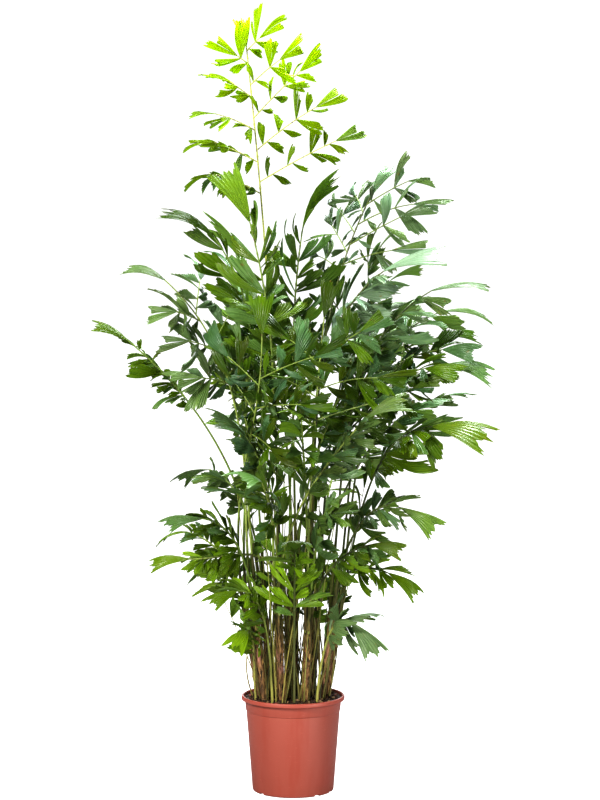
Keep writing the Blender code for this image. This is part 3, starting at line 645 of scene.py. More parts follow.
def side_blade(stalk, plan, share, side, near_end, size, ways, seed, attempt):
    """A try at a leaflet at the left (-1) or right (1) of a stalk."""
    draw = random.Random(seed)
    angle = ways["angles"][0] - ways["angles"][1] * near_end + draw.uniform(-ways["play"], ways["play"])
    length = plan["leaflet"] * size * draw.uniform(*ways["length"])
    pitch = draw.uniform(*ways["pitch"])
    roll = draw.uniform(-ways["roll"], ways["roll"])
    tries = random.Random(f"{seed} {attempt}")
    swing = ways["turn"] * attempt
    length *= 1 - ways["less"] * attempt
    angle = min(max(angle + tries.uniform(-0.5, 0.5) * swing, NARROWEST), ways["widest"])
    pitch = math.radians(pitch + tries.uniform(-1, 1) * swing)
    roll += tries.uniform(-1, 1) * swing
    place = stalk.place(share)
    along = place.raised(place.out(side, math.radians(angle)), pitch)
    across = (place.along - place.along.dot(along) * along).normalized()
    across = turned(across, along, roll)
    up = side * along.cross(across)
    root = place.point + side * place.right * stalk.radius(share)
    outline = SIDE_OUTLINE
    if draw.random() < MIRRORED:
        outline = [(u, -v) for u, v in reversed(SIDE_OUTLINE)]
    width = length * plan["ratio"] * draw.uniform(*ways["width"])
    bend = draw.uniform(*ways["bend"])
    return Blade(root, stalk.radius(share), along, across, up, length, width, outline, bend)


def end_blade(stalk, plan, seed, attempt):
    """A try at the leaflet at a stalk's end."""
    ways = END_LEAFLETS
    draw = random.Random(seed)
    length = plan["leaflet"] * draw.uniform(*ways["length"])
    pitch = draw.uniform(*ways["pitch"])
    roll = draw.uniform(-ways["roll"], ways["roll"])
    tries = random.Random(f"{seed} {attempt}")
    swing = ways["turn"] * attempt
    length *= 1 - ways["less"] * attempt
    pitch = math.radians(pitch + tries.uniform(-0.6, 0.6) * swing)
    roll += tries.uniform(-1, 1) * swing
    place = stalk.place(1.0)
    along = place.raised(place.along, pitch)
    across = turned(place.right, along, roll)
    up = across.cross(along).normalized()
    width = length * (plan["ratio"] + END_WIDER) * draw.uniform(*ways["width"])
    outline = END_OUTLINE if stalk.sunk.length else RIB_END_OUTLINE
    bend = draw.uniform(*ways["bend"])
    return Blade(place.point, stalk.radius(1.0), along, across, up, length, width, outline, bend)


def grow_leaflets(space, stalk, plan, first, count, seed):
    """Places pairs of leaflets from a share of the stalk up to its end, and the end leaflet."""
    for i in range(count):
        share = leaflet_share(first, i, count)
        swell = PAIR_SWELL[0] + PAIR_SWELL[1] * math.sin(math.pi * (i + 0.8) / (count + 0.4))
        both = []
        for side in SIDES:
            name = f"{seed} {i} {side}"
            skipped = (stalk.owner, f"{seed} {i} {-side}")
            values = (stalk, plan, share, side, (i + 0.5) / count, swell, SIDE_LEAFLETS, name)
            both.append(space.fit(name, skipped, TRIES, side_blade, *values))
        stalk.pairs.append((share, *both))
    name = f"{seed} end"
    stalk.end = space.fit(name, (stalk.owner,), TRIES, end_blade, stalk, plan, name)


def add_leaflets(space, stalk, plan, shares, size, seed):
    """Places leaflets at more shares of a stalk, left and right by turns."""
    for i, share in enumerate(shares):
        both = []
        for side in SIDES:
            name = f"{seed} more {i} {side}"
            here = min(share + ADDED_APART * side, LAST_ADDED)
            values = (stalk, plan, here, side, here, size, ADDED_LEAFLETS, name)
            both.append(space.fit(name, (stalk.owner,), LEAF_TRIES, side_blade, *values))
        stalk.pairs.append((share, *both))


def stalk_to(seat, way, depth, frond, owner, attempt):
    """The leaf stalk from its seat to its tip: straight in its hole, and then a smooth arch."""
    *tip, slope, lean, plan = frond
    tries = random.Random(f"{owner} {attempt}")
    shift = TIP_SHIFT * attempt
    tip = Vector(tip) + Vector([tries.uniform(-shift, shift) for _ in range(3)])
    seat = seat + way * depth
    heading = tip - seat
    heading.z = 0.0
    heading.normalize()
    slope = math.radians(slope + 0.3 * tries.uniform(-attempt, attempt))
    end_way = heading * math.cos(slope) + UP * math.sin(slope)
    reach = (tip - seat).length
    near = max((RISE + 0.003 * tries.uniform(-attempt, attempt)) * reach, SHORTEST_RISE)
    far = (ARCH + 0.002 * tries.uniform(-attempt, attempt)) * reach
    line = bezier(seat, seat + way * near, tip - end_way * far, tip)
    lean = math.radians(lean)
    facing = Vector((math.sin(lean), -math.cos(lean), 0.0)) * FACING_OUT + UP * FACING_UP
    stalk = Stalk(line, facing, (STALK_RADIUS, STALK_TIP_RADIUS), owner, corner_shares(PLANS[plan]))
    stalk.sunk = way * -depth
    return stalk


def grow_stalk(space, seats, depth, frond, name):
    """Tries the nearest free seats, and small changes to the arch, until the stalk crosses nothing."""

    def miss(seat):
        return (seat[0].xy - SEAT_SHARE * Vector(frond[:2])).length

    nearest = sorted(seats, key=miss)[:SEATS_TRIED]
    for attempt in range(STALK_TRIES):
        for seat in nearest:
            point, way, holder = seat
            stalk = stalk_to(point, way, depth, frond, name, attempt)
            shape = stalk.shape(name)
            if space.free(shape, (name, holder)):
                space.add(shape)
                seats.remove(seat)
                return stalk
    return None


def grow_stalks(canes):
    """Grows the stalk of every frond and sucker. One that finds no way goes first in a new start."""
    queue = []
    for number, frond in enumerate(FRONDS, 1):
        queue.append((frond[2], f"frond_{number:02d}", SEAT_DEPTH, frond, None))
    for number, (foot_x, foot_y, *frond) in enumerate(SUCKERS, 1):
        foot = Vector((foot_x, foot_y, SOIL_TOP - SOIL_SEAT_DEPTH))
        way = (UP + SUCKER_SPREAD * Vector((foot_x, foot_y, 0.0))).normalized()
        seat = (foot, way, "soil")
        queue.append((frond[2], f"sucker_frond_{number:02d}", SOIL_SEAT_DEPTH, frond, seat))
    queue.sort()
    for _ in range(STARTS):
        space = Space()
        seats = []
        for number, cane in enumerate(canes, 1):
            name = f"cane_{number:02d}"
            space.add(cane.shape(name))
            seats += [(cane.seat(i) + cane.axis * GAP, cane.axis, name) for i in range(SEATS_PER_CANE)]
        grown = []
        for waiting in queue:
            _, name, depth, frond, seat = waiting
            stalk = grow_stalk(space, [seat] if seat else seats, depth, frond, name)
            if stalk is None:
                break
            grown.append((name, stalk, PLANS[frond[5]]))
        else:
            return space, sorted(grown)
        queue.remove(waiting)
        queue.insert(0, waiting)
    raise ValueError("some fronds find no way up past the others")


def rib_share(plan, number):
    """How far up its stalk a pair of side ribs stands."""
    return plan["bare"] + (plan["top"] - plan["bare"]) * (number + 0.35) / plan["pairs"]


def leaflet_share(first, number, count):
    """How far up its stalk or rib a pair of leaflets stands, the first of them above a share."""
    return first + (LAST_LEAFLETS - first) * (number + 0.5) / count


def corner_shares(plan):
    """Where a leaf stalk has a corner: along its bare part and at its ribs or leaflets."""
    shares = [plan["bare"] * i / BARE_STEPS for i in range(BARE_STEPS + 1)]
    if plan["rib"]:
        shares += [rib_share(plan, i) for i in range(plan["pairs"])]
    else:
        shares += [leaflet_share(plan["bare"], i, plan["pairs"]) for i in range(plan["pairs"])]
    return [*shares, 1.0]


def side_rib(stalk, plan, number, side, shares, owner, attempt):
    """A try at a side rib of a frond divided twice."""
    draw = random.Random(f"{owner} {attempt}")
    play = RIB_PLAY[0] + RIB_PLAY[1] * attempt
    count = plan["pairs"]
    crown = plan["top"] > 1
    place = stalk.place(rib_share(plan, number) + RIBS_APART * side)
    angle = RIB_ANGLES[0] - RIB_ANGLES[1] * number / count + draw.uniform(-play, play)
    out = place.out(side, math.radians(angle))
    along = (out + place.up * (plan["lift"] + draw.uniform(-0.1, 0.1))).normalized()
    swell = RIB_SWELL[0] + RIB_SWELL[1] * math.sin(math.pi * (number + 1.0) / (count + 0.8))
    length = plan["rib"] * swell * draw.uniform(*RIB_LENGTHS) * (1 - 0.01 * attempt)
    length *= 1 + RIB_LEAN * side
    if crown:
        low, high = CROWN_SPREAD
        length *= low + (high - low) * number / (count - 1)
    line = drooping(place.point - place.up * RIB_SINK, along, length, draw.uniform(*RIB_DROOP))
    facing = place.up
    if crown and side < 0 and number < count - 1:
        facing = turned(facing, along, CROWN_TURN)
    return Stalk(line, facing, (RIB_RADIUS, RIB_TIP_RADIUS), owner, shares)


def grow_ribs(space, stalk, plan, seed):
    """Places the side ribs of a frond divided twice."""
    count = plan["rib_pairs"]
    shares = [0.0, *(leaflet_share(RIB_BARE, i, count) for i in range(count)), 1.0]
    for i in range(plan["pairs"]):
        for side in SIDES:
            owner = f"{seed} rib {i} {side}"
            values = (stalk, plan, i, side, shares, owner)
            rib = space.fit(owner, (stalk.owner,), TRIES, side_rib, *values)
            if rib:
                stalk.ribs.append(rib)


def grow_frond(space, stalk, plan, seed):
    if plan["rib"]:
        for number, rib in enumerate(stalk.ribs):
            grow_leaflets(space, rib, plan, RIB_BARE, plan["rib_pairs"], f"{seed} {number}")
        grow_leaflets(space, stalk, plan, 1.0, 0, seed)
    else:
        grow_leaflets(space, stalk, plan, plan["bare"], plan["pairs"], seed)


def fill_frond(space, stalk, plan, name):
    """Adds the leaflets that the frame leaves out."""
    first = plan["bare"]
    count = plan["pairs"]
    if plan["rib"]:
        stalk.knots = [rib_share(plan, i) for i in range(count)]
        kind = next(key for key in ADDED_SIZES if PLANS[key] is plan)
        for number, rib in enumerate(stalk.ribs):
            short = kind == "upper" or kind == "crown" and rib.length < SHORT_RIB
            shares = SHORT_RIB_SHARES if short else LONG_RIB_SHARES
            add_leaflets(space, rib, plan, shares, ADDED_SIZES[kind], f"{name} {number}")
    else:
        step = (LAST_LEAFLETS - first) / count
        between = [first + step * (i + 1) for i in range(count)]
        add_leaflets(space, stalk, plan, between, BETWEEN_SIZE, name)
        small = [first + step * (i / 2 + 0.25) for i in range(2 * count)]
        add_leaflets(space, stalk, plan, small, SMALL_SIZE, f"{name} small")


def young_stem(number, attempt):
    """A try at a thin stem from the soil, which leans out."""
    draw = random.Random(f"shoot {number} {attempt}")
    angle = math.tau * (number + draw.uniform(-0.4, 0.4)) / SHOOTS * SHOOT_CIRCLES
    radius = draw.uniform(*SHOOT_FEET)
    foot = Vector((radius * math.sin(angle), -radius * math.cos(angle), SOIL_TOP - SHOOT_DEPTH))
    height = draw.uniform(*SHOOT_HEIGHTS)
    out = draw.uniform(*SHOOT_SPREAD)
    tip = Vector((foot.x * out, foot.y * out, SOIL_TOP + height))
    tip += Vector((*(draw.uniform(-sway, sway) for sway in SHOOT_SWAY), 0.0))
    bend = Vector((*(draw.uniform(-SHOOT_BEND, SHOOT_BEND) for _ in range(2)), 0.0))
    line = bezier(foot, foot.lerp(tip, 0.33) + bend, foot.lerp(tip, 0.66) - bend, tip)
    facing = Vector((foot.x, foot.y, 0.02)).normalized() * 0.5 + UP * 0.4
    thick = draw.uniform(*SHOOT_RADII)
    shares = [i / 6 for i in range(7)]
    return Stalk(line, facing, (thick, thick * 0.5), f"shoot {number}", shares)


def grow_shoots(space):
    """Thin young stems from the soil, some with a few small leaflets. None crosses another piece."""
    tried = [space.fit(f"shoot {i}", ("soil",), SHOOT_TRIES, young_stem, i) for i in range(SHOOTS)]
    grown = [shoot for shoot in tried if shoot]
    for number, shoot in enumerate(grown):
        if number % 2:
            grow_leaflets(space, shoot, SHOOT_PLAN, SHOOT_PLAN["bare"], 1, f"young {number}")
    return grown


def new_object(name, data, *finishes):
    for finish in finishes:
        data.materials.append(finish)
    made = bpy.data.objects.new(name, data)
    bpy.context.scene.collection.objects.link(made)
    return made


def object_from(bm, name, finish):
    mesh = bpy.data.meshes.new(name)
    bm.to_mesh(mesh)
    bm.free()
    return new_object(name, mesh, finish)


class Skin:
    """Collects the sheets and tubes of one piece, with two numbers and a tint for each point."""

    def __init__(self):
        self.points = []
        self.quads = []
        self.finishes = []
        self.coords = []
        self.tints = []
        self.count = 0

    def add(self, points, quads, coords, tint, finish=0):
        self.points.append(points)
        self.quads.append(quads + self.count)
        self.finishes.append(np.full(len(quads), finish))
        self.coords.append(coords)
        self.tints.append(np.broadcast_to(tint, (len(points), 4)))
        self.count += len(points)

    def make(self, name, *finishes):
        quads = np.concatenate(self.quads)
        mesh = bpy.data.meshes.new(name)
        mesh.vertices.add(self.count)
        mesh.vertices.foreach_set("co", np.concatenate(self.points).ravel())
        mesh.loops.add(quads.size)
        mesh.loops.foreach_set("vertex_index", quads.ravel().astype(np.int32))
        mesh.polygons.add(len(quads))
        mesh.polygons.foreach_set("loop_start", np.arange(0, quads.size, 4, dtype=np.int32))
        mesh.polygons.foreach_set("material_index", np.concatenate(self.finishes).astype(np.int32))
        mesh.update(calc_edges=True)
        mesh.validate()
        layer = mesh.uv_layers.new(name="along")
        layer.uv.foreach_set("vector", np.concatenate(self.coords)[quads.ravel()].ravel())
        colours = mesh.color_attributes.new(name="tint", type="FLOAT_COLOR", domain="POINT")
        colours.data.foreach_set("color", np.concatenate(self.tints).ravel())
        bm = bmesh.new()
        bm.from_mesh(mesh)
        bmesh.ops.recalc_face_normals(bm, faces=bm.faces)
        bm.to_mesh(mesh)
        bm.free()
        mesh.shade_smooth()
        mesh.set_sharp_from_angle(angle=math.radians(CREASE))
        return new_object(name, mesh, *finishes)


def grid_quads(rows, columns):
    first = (np.arange(rows - 1)[:, None] * columns + np.arange(columns - 1)).ravel()
    return np.stack([first, first + 1, first + columns + 1, first + columns], axis=1)


def sheet_quads(rows, columns):
    """The faces of two grids, one over the other, and of the edge between them."""
    grid = np.arange(rows * columns).reshape(rows, columns)
    rim = np.concatenate([grid[0], grid[1:, -1], grid[-1, -2::-1], grid[-2:0:-1, 0]])
    after = np.roll(rim, -1)
    lower = rows * columns
    top = grid_quads(rows, columns)
    edge = np.stack([rim, after, after + lower, rim + lower], axis=1)
    return np.concatenate([top, top[:, ::-1] + lower, edge])


def tube_quads(rings, sides):
    """The faces of a tube of rings, and of its two ends."""
    here = np.arange(rings * sides).reshape(rings, sides)
    after = np.roll(here, -1, axis=1)
    wall = np.stack([here[:-1], after[:-1], after[1:], here[1:]], axis=-1).reshape(-1, 4)
    i = np.arange(sides // 2 - 1)
    end = np.stack([i, i + 1, sides - 2 - i, sides - 1 - i], axis=1)
    return np.concatenate([wall, end[:, ::-1], end + (rings - 1) * sides])


def add_tube(skin, places, radii, sides, tint, finish=0):
    """A tube through places of (centre, right, up). radii has one number, or one a side, for each."""
    angles = math.tau * (np.arange(sides) + 0.5) / sides
    points = []
    coords = []
    along = 0.0
    for number, ((centre, right, up), radius) in enumerate(zip(places, radii)):
        if number:
            along += (Vector(centre) - Vector(places[number - 1][0])).length
        way = np.cos(angles)[:, None] * np.array(right) + np.sin(angles)[:, None] * np.array(up)
        points.append(np.array(centre) + np.reshape(radius, (-1, 1)) * way)
        coords.append(np.stack([angles / math.tau, np.full(sides, along * 10)], axis=1))
    quads = tube_quads(len(places), sides)
    skin.add(np.concatenate(points), quads, np.concatenate(coords), tint, finish)


def curve_places(line, count):
    """Places along a line, with ways that don't twist."""
    centres = [line(i / (count - 1)) for i in range(count)]
    ways = [(b - a).normalized() for a, b in zip(centres, centres[1:])]
    ways.append(ways[-1])
    right = ways[0].orthogonal().normalized()
    places = []
    for centre, way in zip(centres, ways):
        right = (right - right.dot(way) * way).normalized()
        places.append((centre, right, way.cross(right)))
    return places


def along_points(points, shares):
    """Points at shares of the length of a line through some points."""
    points = np.array(points)
    steps = np.linalg.norm(np.diff(points, axis=0), axis=1)
    far = np.concatenate(([0.0], np.cumsum(steps)))
    return np.stack([np.interp(shares * far[-1], far, points[:, i]) for i in (0, 1)], axis=1)


def add_leaflet(skin, blade, seed, yellow, painted_sheen):
    """A fishtail leaflet, in one blade or split down to its root in two."""
    draw = random.Random(seed)
    whole = tuple(blade.outline) == END_OUTLINE or blade.root.x > WHOLE_RIGHT
    if whole or blade.length < SPLIT_LENGTH or draw.random() > SPLIT_SHARE:
        add_lobe(skin, blade, draw, (0.0, 1.0), 1.0, 0.0, RAYS, yellow, painted_sheen)
        return
    middle = draw.uniform(*SPLIT_PLACES)
    sizes = [draw.uniform(*LONG_LOBE), draw.uniform(*SHORT_LOBE)]
    draw.shuffle(sizes)
    tilt = draw.uniform(*LOBE_TILT) * draw.choice(SIDES)
    add_lobe(skin, blade, draw, (0.0, middle - CLEFT), sizes[0], tilt, LOBE_RAYS, yellow, painted_sheen)
    add_lobe(skin, blade, draw, (middle + CLEFT, 1.0), sizes[1], -tilt, LOBE_RAYS, yellow, painted_sheen)


def lobe_outline(blade, draw, share, size):
    """The left and right corner of a leaflet, and the ragged end of each of its rays."""
    mirrored = tuple(blade.outline) not in FORMS
    outline = tuple((u, -v) for u, v in reversed(blade.outline)) if mirrored else tuple(blade.outline)
    left, tips, right = FORMS[outline]
    tips = [(u + draw.uniform(-0.05, 0.03), v + draw.uniform(-0.05, 0.05)) for u, v in tips]
    rays = len(share)
    ends = along_points(tips, share) * size
    notches = [draw.uniform(*NOTCHES[i % 2]) for i in range(rays)]
    for _ in range(DEEP_NOTCHES):
        notches[draw.randrange(2, rays - 2)] += draw.uniform(0.0, DEEPEST_NOTCH)
    notches[0] = CORNER_NOTCH
    notches[-1] = CORNER_NOTCH
    ends *= 1 - np.array(notches)[:, None]
    return np.array(left), np.array(right), ends, mirrored


def add_lobe(skin, blade, draw, part, size, tilt, rays, yellow, painted_sheen):
    """A part of a leaflet's width: pleated, ragged at its far end, and drooping there."""
    share = np.linspace(*part, rays)
    out = np.linspace(0.0, 1.0, RAY_STEPS + 1)
    left, right, ends, mirrored = lobe_outline(blade, draw, share, size)
    roots = np.stack([np.zeros(rays), (share - 0.5) * ROOT_SHARE], axis=1)
    bulges = (1 - share)[:, None] * left + share[:, None] * right
    turns = 2 * bulges - 0.5 * roots - 0.5 * ends
    t = out[None, :, None]
    flat = (1 - t) ** 2 * roots[:, None] + 2 * t * (1 - t) * turns[:, None] + t**2 * ends[:, None]
    u = flat[..., 0]
    v = -flat[..., 1] if mirrored else flat[..., 1]
    sink = blade.bend * blade.length * u**2 + FOLD * blade.width * v**2
    droop = draw.uniform(*DROOP) * blade.length * np.maximum(u - DROOP_START, 0.0) ** 2
    pleat = PLEAT * ((-1.0) ** np.arange(rays))[:, None] * np.minimum(out / PLEAT_START, 1.0)
    wave = np.sin(math.tau * (share[:, None] * draw.uniform(*EDGE_WAVES) + draw.random())) * out**2
    twist = draw.uniform(-TWIST, TWIST) * blade.width * v * u
    tilted = math.tan(tilt) * blade.width * (v - v.mean(axis=0)) * np.minimum(out * 2.0, 1.0)
    lift = pleat + EDGE_WAVE * wave + twist + tilted - sink - droop
    points = (
        np.array(blade.root)
        + u[..., None] * blade.length * np.array(blade.along)
        + v[..., None] * blade.width * np.array(blade.across)
        + lift[..., None] * np.array(blade.up)
    )
    normals = np.cross(np.gradient(points, axis=0), np.gradient(points, axis=1))
    normals /= np.linalg.norm(normals, axis=2, keepdims=True)
    if (normals @ np.array(blade.up)).sum() < 0:
        normals = -normals
    thick = LEAF_THICKNESS + (ROOT_THICKNESS - LEAF_THICKNESS) * (1 - out) ** 3
    half = normals * thick[None, :, None] / 2
    sheets = np.concatenate([(points + half).reshape(-1, 3), (points - half).reshape(-1, 3)])
    coords = np.stack(np.broadcast_arrays(share[:, None], out[None, :]), axis=-1).reshape(-1, 2)
    # the tint holds the yellowness, the share of painted sheen, a random number and the underside mark
    tint = np.tile((yellow, painted_sheen, draw.random(), 0.0), (len(sheets), 1))
    tint[len(coords) :, 3] = 1.0  # marks the underside
    skin.add(sheets, sheet_quads(rays, RAY_STEPS + 1), np.concatenate([coords, coords]), tint)


def add_stalk(skin, stalk, sides, rings, tint):
    """A round stalk that swells at its leaflets and ribs."""
    knots = [pair[0] for pair in stalk.pairs] + stalk.knots
    reach = KNUCKLE_LENGTH / stalk.length
    shares = {i / rings for i in range(rings + 1)}
    for knot in knots:
        shares |= {min(max(knot + step * reach, 0.0), 1.0) for step in (-1.5, -0.5, 0.5, 1.5)}
    places = []
    radii = []
    if stalk.sunk.length:
        place = stalk.place(0.0)
        places.append((place.point + stalk.sunk, place.right, place.up))
        radii.append(stalk.radius(0.0))
    for share in sorted(shares):
        place = stalk.place(share)
        swell = sum(math.exp(-(((share - knot) / reach) ** 2)) for knot in knots)
        places.append((place.point, place.right, place.up))
        radii.append(stalk.radius(share) * (1 + KNUCKLE * min(swell, 1.0)))
    add_tube(skin, places, radii, sides, tint, 1)


def frond_tone(name, blade):
    """How yellow a leaflet is, and how much painted sky sheen it takes, by its frond and its height."""
    draw = random.Random(f"{name} tone")
    if name == CROWN:
        # the crown turns yellow with height: its young colour, and painted light shining through its upper
        # leaves
        return min(max((blade.root.z - CROWN_GREEN) / CROWN_FADE, 0.10), 1.0), 0.0
    # the other fronds take a little painted sheen at random
    painted_sheen = max(draw.uniform(-0.2, 0.2), 0.0)
    yellow = draw.uniform(*YELLOWS)
    if name in PAINTED_SHEEN_FRONDS:
        return yellow / 2, PAINTED_SHEEN_FRONDS[name]
    if blade.root.z < LOW_LEAVES:
        yellow += random.Random(f"{name} {blade.root.z:.4f}").choice(LOW_YELLOWS)
    return yellow, painted_sheen


def make_frond(name, stalk, *finishes):
    skin = Skin()
    high = 1.0 if name == CROWN else 0.0
    # stalks reaching out to the right, and those listed, are painted darker, their ribs half as much: painted
    # shade
    dark = PAINTED_STALK_SHADE if stalk.line(1.0).x > PAINTED_SHADE_RIGHT or name in PAINTED_SHADE_STALKS else 0.0
    add_stalk(skin, stalk, STALK_SIDES, STALK_RINGS, (high, 0.0, random.Random(name).random(), dark))
    for rib in stalk.ribs:
        add_stalk(skin, rib, RIB_SIDES, RIB_RINGS, (high, 0.0, 0.5, dark / 2))
    for number, carrier in enumerate([stalk, *stalk.ribs]):
        for i, blade in carrier.blades():
            add_leaflet(skin, blade, f"{name} {number} {i}", *frond_tone(name, blade))
    return skin.make(f"{name}_leaves", *finishes)


def make_shoots(shoots, *finishes):
    skin = Skin()
    for number, shoot in enumerate(shoots):
        draw = random.Random(f"shoot tone {number}")
        dark = draw.choice(SHOOT_SHADES)
        tint = (draw.uniform(0.0, 0.9), draw.random(), draw.random(), dark)
        add_stalk(skin, shoot, SHOOT_SIDES, SHOOT_RINGS, tint)
        for i, blade in shoot.blades():
            # their leaflets take a little painted sheen
            add_leaflet(skin, blade, f"young {number} {i}", draw.uniform(0.0, 0.6), 0.1)
    return skin.make("young_shoots", *finishes)


def add_core(skin, cane, draw):
    """The cane's core, ridged and rough."""
    angles = math.tau * np.arange(CANE_ROUND) / CANE_ROUND
    broad, fine = CORE_RIDGES
    top, less = CORE_TOP
    phase = draw.uniform(0, math.tau)
    places = []
    radii = []
    for i in range(CANE_RINGS):
        share = i / (CANE_RINGS - 1)
        ridges = broad * np.sin(3 * angles + phase + 2 * share) + fine * np.sin(7 * angles - 3 * share)
        rough = np.array([CORE_ROUGH * draw.uniform(-1, 1) for _ in angles])
        head = 1 - less * max((share - top) / 0.07, 0.0) ** 2
        places.append((cane.foot + cane.axis * cane.length * share, cane.side, cane.across))
        radii.append(CORE_RADIUS * (1 + ridges + rough) * head)
    add_tube(skin, places, radii, CANE_ROUND, (0.0, 0.0, draw.random(), 0.0))


def add_sheath(skin, cane, draw, top, seed):
    """A torn sheet of fibre that wraps most of the cane, up to a share of its length."""
    low = top - SHEATH_LENGTH / cane.length
    near, wide, wave = SHEATH_FLARE
    turn = draw.uniform(0, math.tau)
    spots = [(i, j) for i in range(CANE_ROUND + 1) for j in range(SHEATH_STEPS + 1)]
    points = []
    for side in (1, -1):
        for i, j in spots:
            angle = turn + SHEATH_TURN * math.tau * i / CANE_ROUND
            ragged = random.Random(f"{seed} {top} {i}").uniform(*SHEATH_EDGE) / cane.length
            out = j / SHEATH_STEPS
            flare = near + wide * out**2 + wave * math.sin(5 * angle + 3 * out)
            share = min(low + (top + ragged - low) * out, 1.02)
            points.append(cane.point(angle, share, CORE_RADIUS + flare + side * SHEATH_THICKNESS / 2))
    coords = np.array([(i / CANE_ROUND, j / SHEATH_STEPS) for i, j in spots] * 2)
    quads = sheet_quads(CANE_ROUND + 1, SHEATH_STEPS + 1)
    skin.add(np.array(points), quads, coords, (0.3, 0.0, draw.random(), 0.0))


def make_cane(name, cane, stalks, *finishes):
    """The cane's ridged core, its ragged sheaths, loose fibres and old leaf stalks."""
    skin = Skin()
    draw = random.Random(name)
    add_core(skin, cane, draw)
    for top in SHEATH_HEIGHTS:
        add_sheath(skin, cane, draw, top + draw.uniform(-0.04, 0.04), name)

    for _ in range(FIBRES):
        angle = draw.uniform(0, math.tau)
        start = draw.uniform(*FIBRE_STARTS)
        rise = draw.uniform(*FIBRE_LENGTHS) / cane.length
        bow = draw.uniform(*FIBRE_BOWS)
        turn = draw.uniform(-0.5, 0.5)
        line = cane.line(angle, turn, start, rise, CORE_RADIUS + FIBRE_LIFT, lambda t: bow * t**2)
        places = curve_places(line, len(FIBRE_RADII))
        add_tube(skin, places, FIBRE_RADII, 4, (1.0, 0.0, draw.random(), 0.0))

    for number in range(PETIOLES):
        angle = math.tau * (number + draw.random()) / PETIOLES
        bow = draw.uniform(*PETIOLE_BOWS)
        rise = draw.uniform(*PETIOLE_ENDS) - PETIOLE_START
        base = CORE_RADIUS + PETIOLE_LIFT
        line = cane.line(angle, 0.3, PETIOLE_START, rise, base, lambda t: bow * math.sin(math.pi * t))
        radii = np.linspace(*PETIOLE_RADII, PETIOLE_RINGS)
        tint = (draw.choice((0.0, 1.0)), draw.choice((0.0, 1.2)), draw.random(), draw.choice((0.0, 0.5)))
        add_tube(skin, curve_places(line, PETIOLE_RINGS), radii, 8, tint, 1)

    for stalk in stalks:
        places = []
        radii = []
        for i in range(LEAF_BASE_STEPS + 1):
            share = LEAF_BASE_SHARE * i / LEAF_BASE_STEPS
            place = stalk.place(share)
            thinner = stalk.radius(share) + 0.0002 - LEAF_BASE
            places.append((place.point - cane.axis * LEAF_BASE_SINK, place.right, place.up))
            radii.append(LEAF_BASE + thinner * (i / LEAF_BASE_STEPS) ** 0.6)
        add_tube(skin, places, radii, 10, (0.5, 0.7, draw.random(), 0.0))
    return skin.make(f"{name}_bark", *finishes)


def crumb_template():
    """The points of a rounded cube of three by three points a side, and its faces."""
    bm = bmesh.new()
    bmesh.ops.create_cube(bm, size=1.0)
    bmesh.ops.subdivide_edges(bm, edges=bm.edges, cuts=1, use_grid_fill=True)
    points = np.array([corner.co.normalized() for corner in bm.verts])
    bm.verts.index_update()
    quads = np.array([[corner.index for corner in face.verts] for face in bm.faces])
    bm.free()
    return points, quads


def soil_height(x, y):
    fine = noise.fractal(Vector((x * 90, y * 90, 3.0)), 1.0, 2.2, 4)
    return SOIL_TOP + lump(x, y) + SOIL_GRAIN * fine


def soil_spot(draw, inside, reach):
    """A place on the soil, drawn evenly over it."""
    radius = inside * math.sqrt(draw.random()) * reach
    angle = draw.uniform(0, math.tau)
    return radius * math.cos(angle), radius * math.sin(angle)


def make_soil(finish):
    skin = Skin()
    inside = mouth_radius(SOIL_TOP) - 2 * GAP
    bottom = wall_radius(POT_FLOOR) - POT_WALL - GAP
    angles = math.tau * np.arange(SOIL_ROUND) / SOIL_ROUND
    points = []
    for height, radius in ((POT_FLOOR + GAP, bottom), (MOUTH_BOTTOM, mouth_radius(MOUTH_BOTTOM) - GAP)):
        points += [(radius * math.cos(a), radius * math.sin(a), height) for a in angles]
    for i in range(SOIL_FINE_RINGS):
        radius = inside * (1 - (i / (SOIL_FINE_RINGS - 0.5)))
        for a in angles:
            x = radius * math.cos(a)
            y = radius * math.sin(a)
            points.append((x, y, soil_height(x, y)))
    points = np.array(points)
    skin.add(points, tube_quads(SOIL_FINE_RINGS + 2, SOIL_ROUND), points[:, :2] * 10, (0.0, 0.0, 0.5, 0.0))

    draw = random.Random("crumbs")
    form, quads = crumb_template()
    for number in range(CRUMBS):
        x, y = soil_spot(draw, inside, 0.96)
        size = draw.uniform(*CRUMB_SIZES)
        stretch = np.array([draw.uniform(*span) for span in CRUMB_FORMS]) * size
        rough = np.array([draw.uniform(0.75, 1.2) for _ in form])[:, None]
        axis = Vector((draw.random(), draw.random(), 1.0))
        spin = np.array(Matrix.Rotation(draw.uniform(0, math.tau), 3, axis))
        points = (form * rough * stretch) @ spin.T + np.array([x, y, soil_height(x, y) + size * CRUMB_RISE])
        pale = draw.uniform(0.4, 1.0) if number % 7 == 0 else 0.0
        pink = draw.uniform(0.4, 0.9) if number % 31 == 0 else 0.0
        skin.add(points, quads, points[:, :2] * 10, (pale, pink, draw.random(), 0.0))

    for _ in range(STRANDS):
        x, y = soil_spot(draw, inside, 0.93)
        way = draw.uniform(0, math.tau)
        length = draw.uniform(*STRAND_LENGTHS)
        arch = draw.uniform(*STRAND_ARCHES)
        curl = draw.uniform(-1.5, 1.5)

        def line(t):
            heading = way + curl * t
            px = x + length * (t - 0.5) * math.cos(heading)
            py = y + length * (t - 0.5) * math.sin(heading)
            return Vector((px, py, soil_height(px, py) + 0.0006 + arch * math.sin(math.pi * t)))

        add_tube(skin, curve_places(line, 7), [STRAND_RADIUS] * 7, 4, (0.0, 0.0, draw.random(), 1.0))
    return skin.make("soil_surface", finish)


def rounded(radius, height, size):
    """A quarter round of the pot's profile that starts at a height and ends at a radius."""
    turns = [math.radians(90 * i / QUARTER_STEPS) for i in range(1, QUARTER_STEPS + 1)]
    return [(radius - size * (1 - math.sin(a)), height + size * (1 - math.cos(a))) for a in turns]


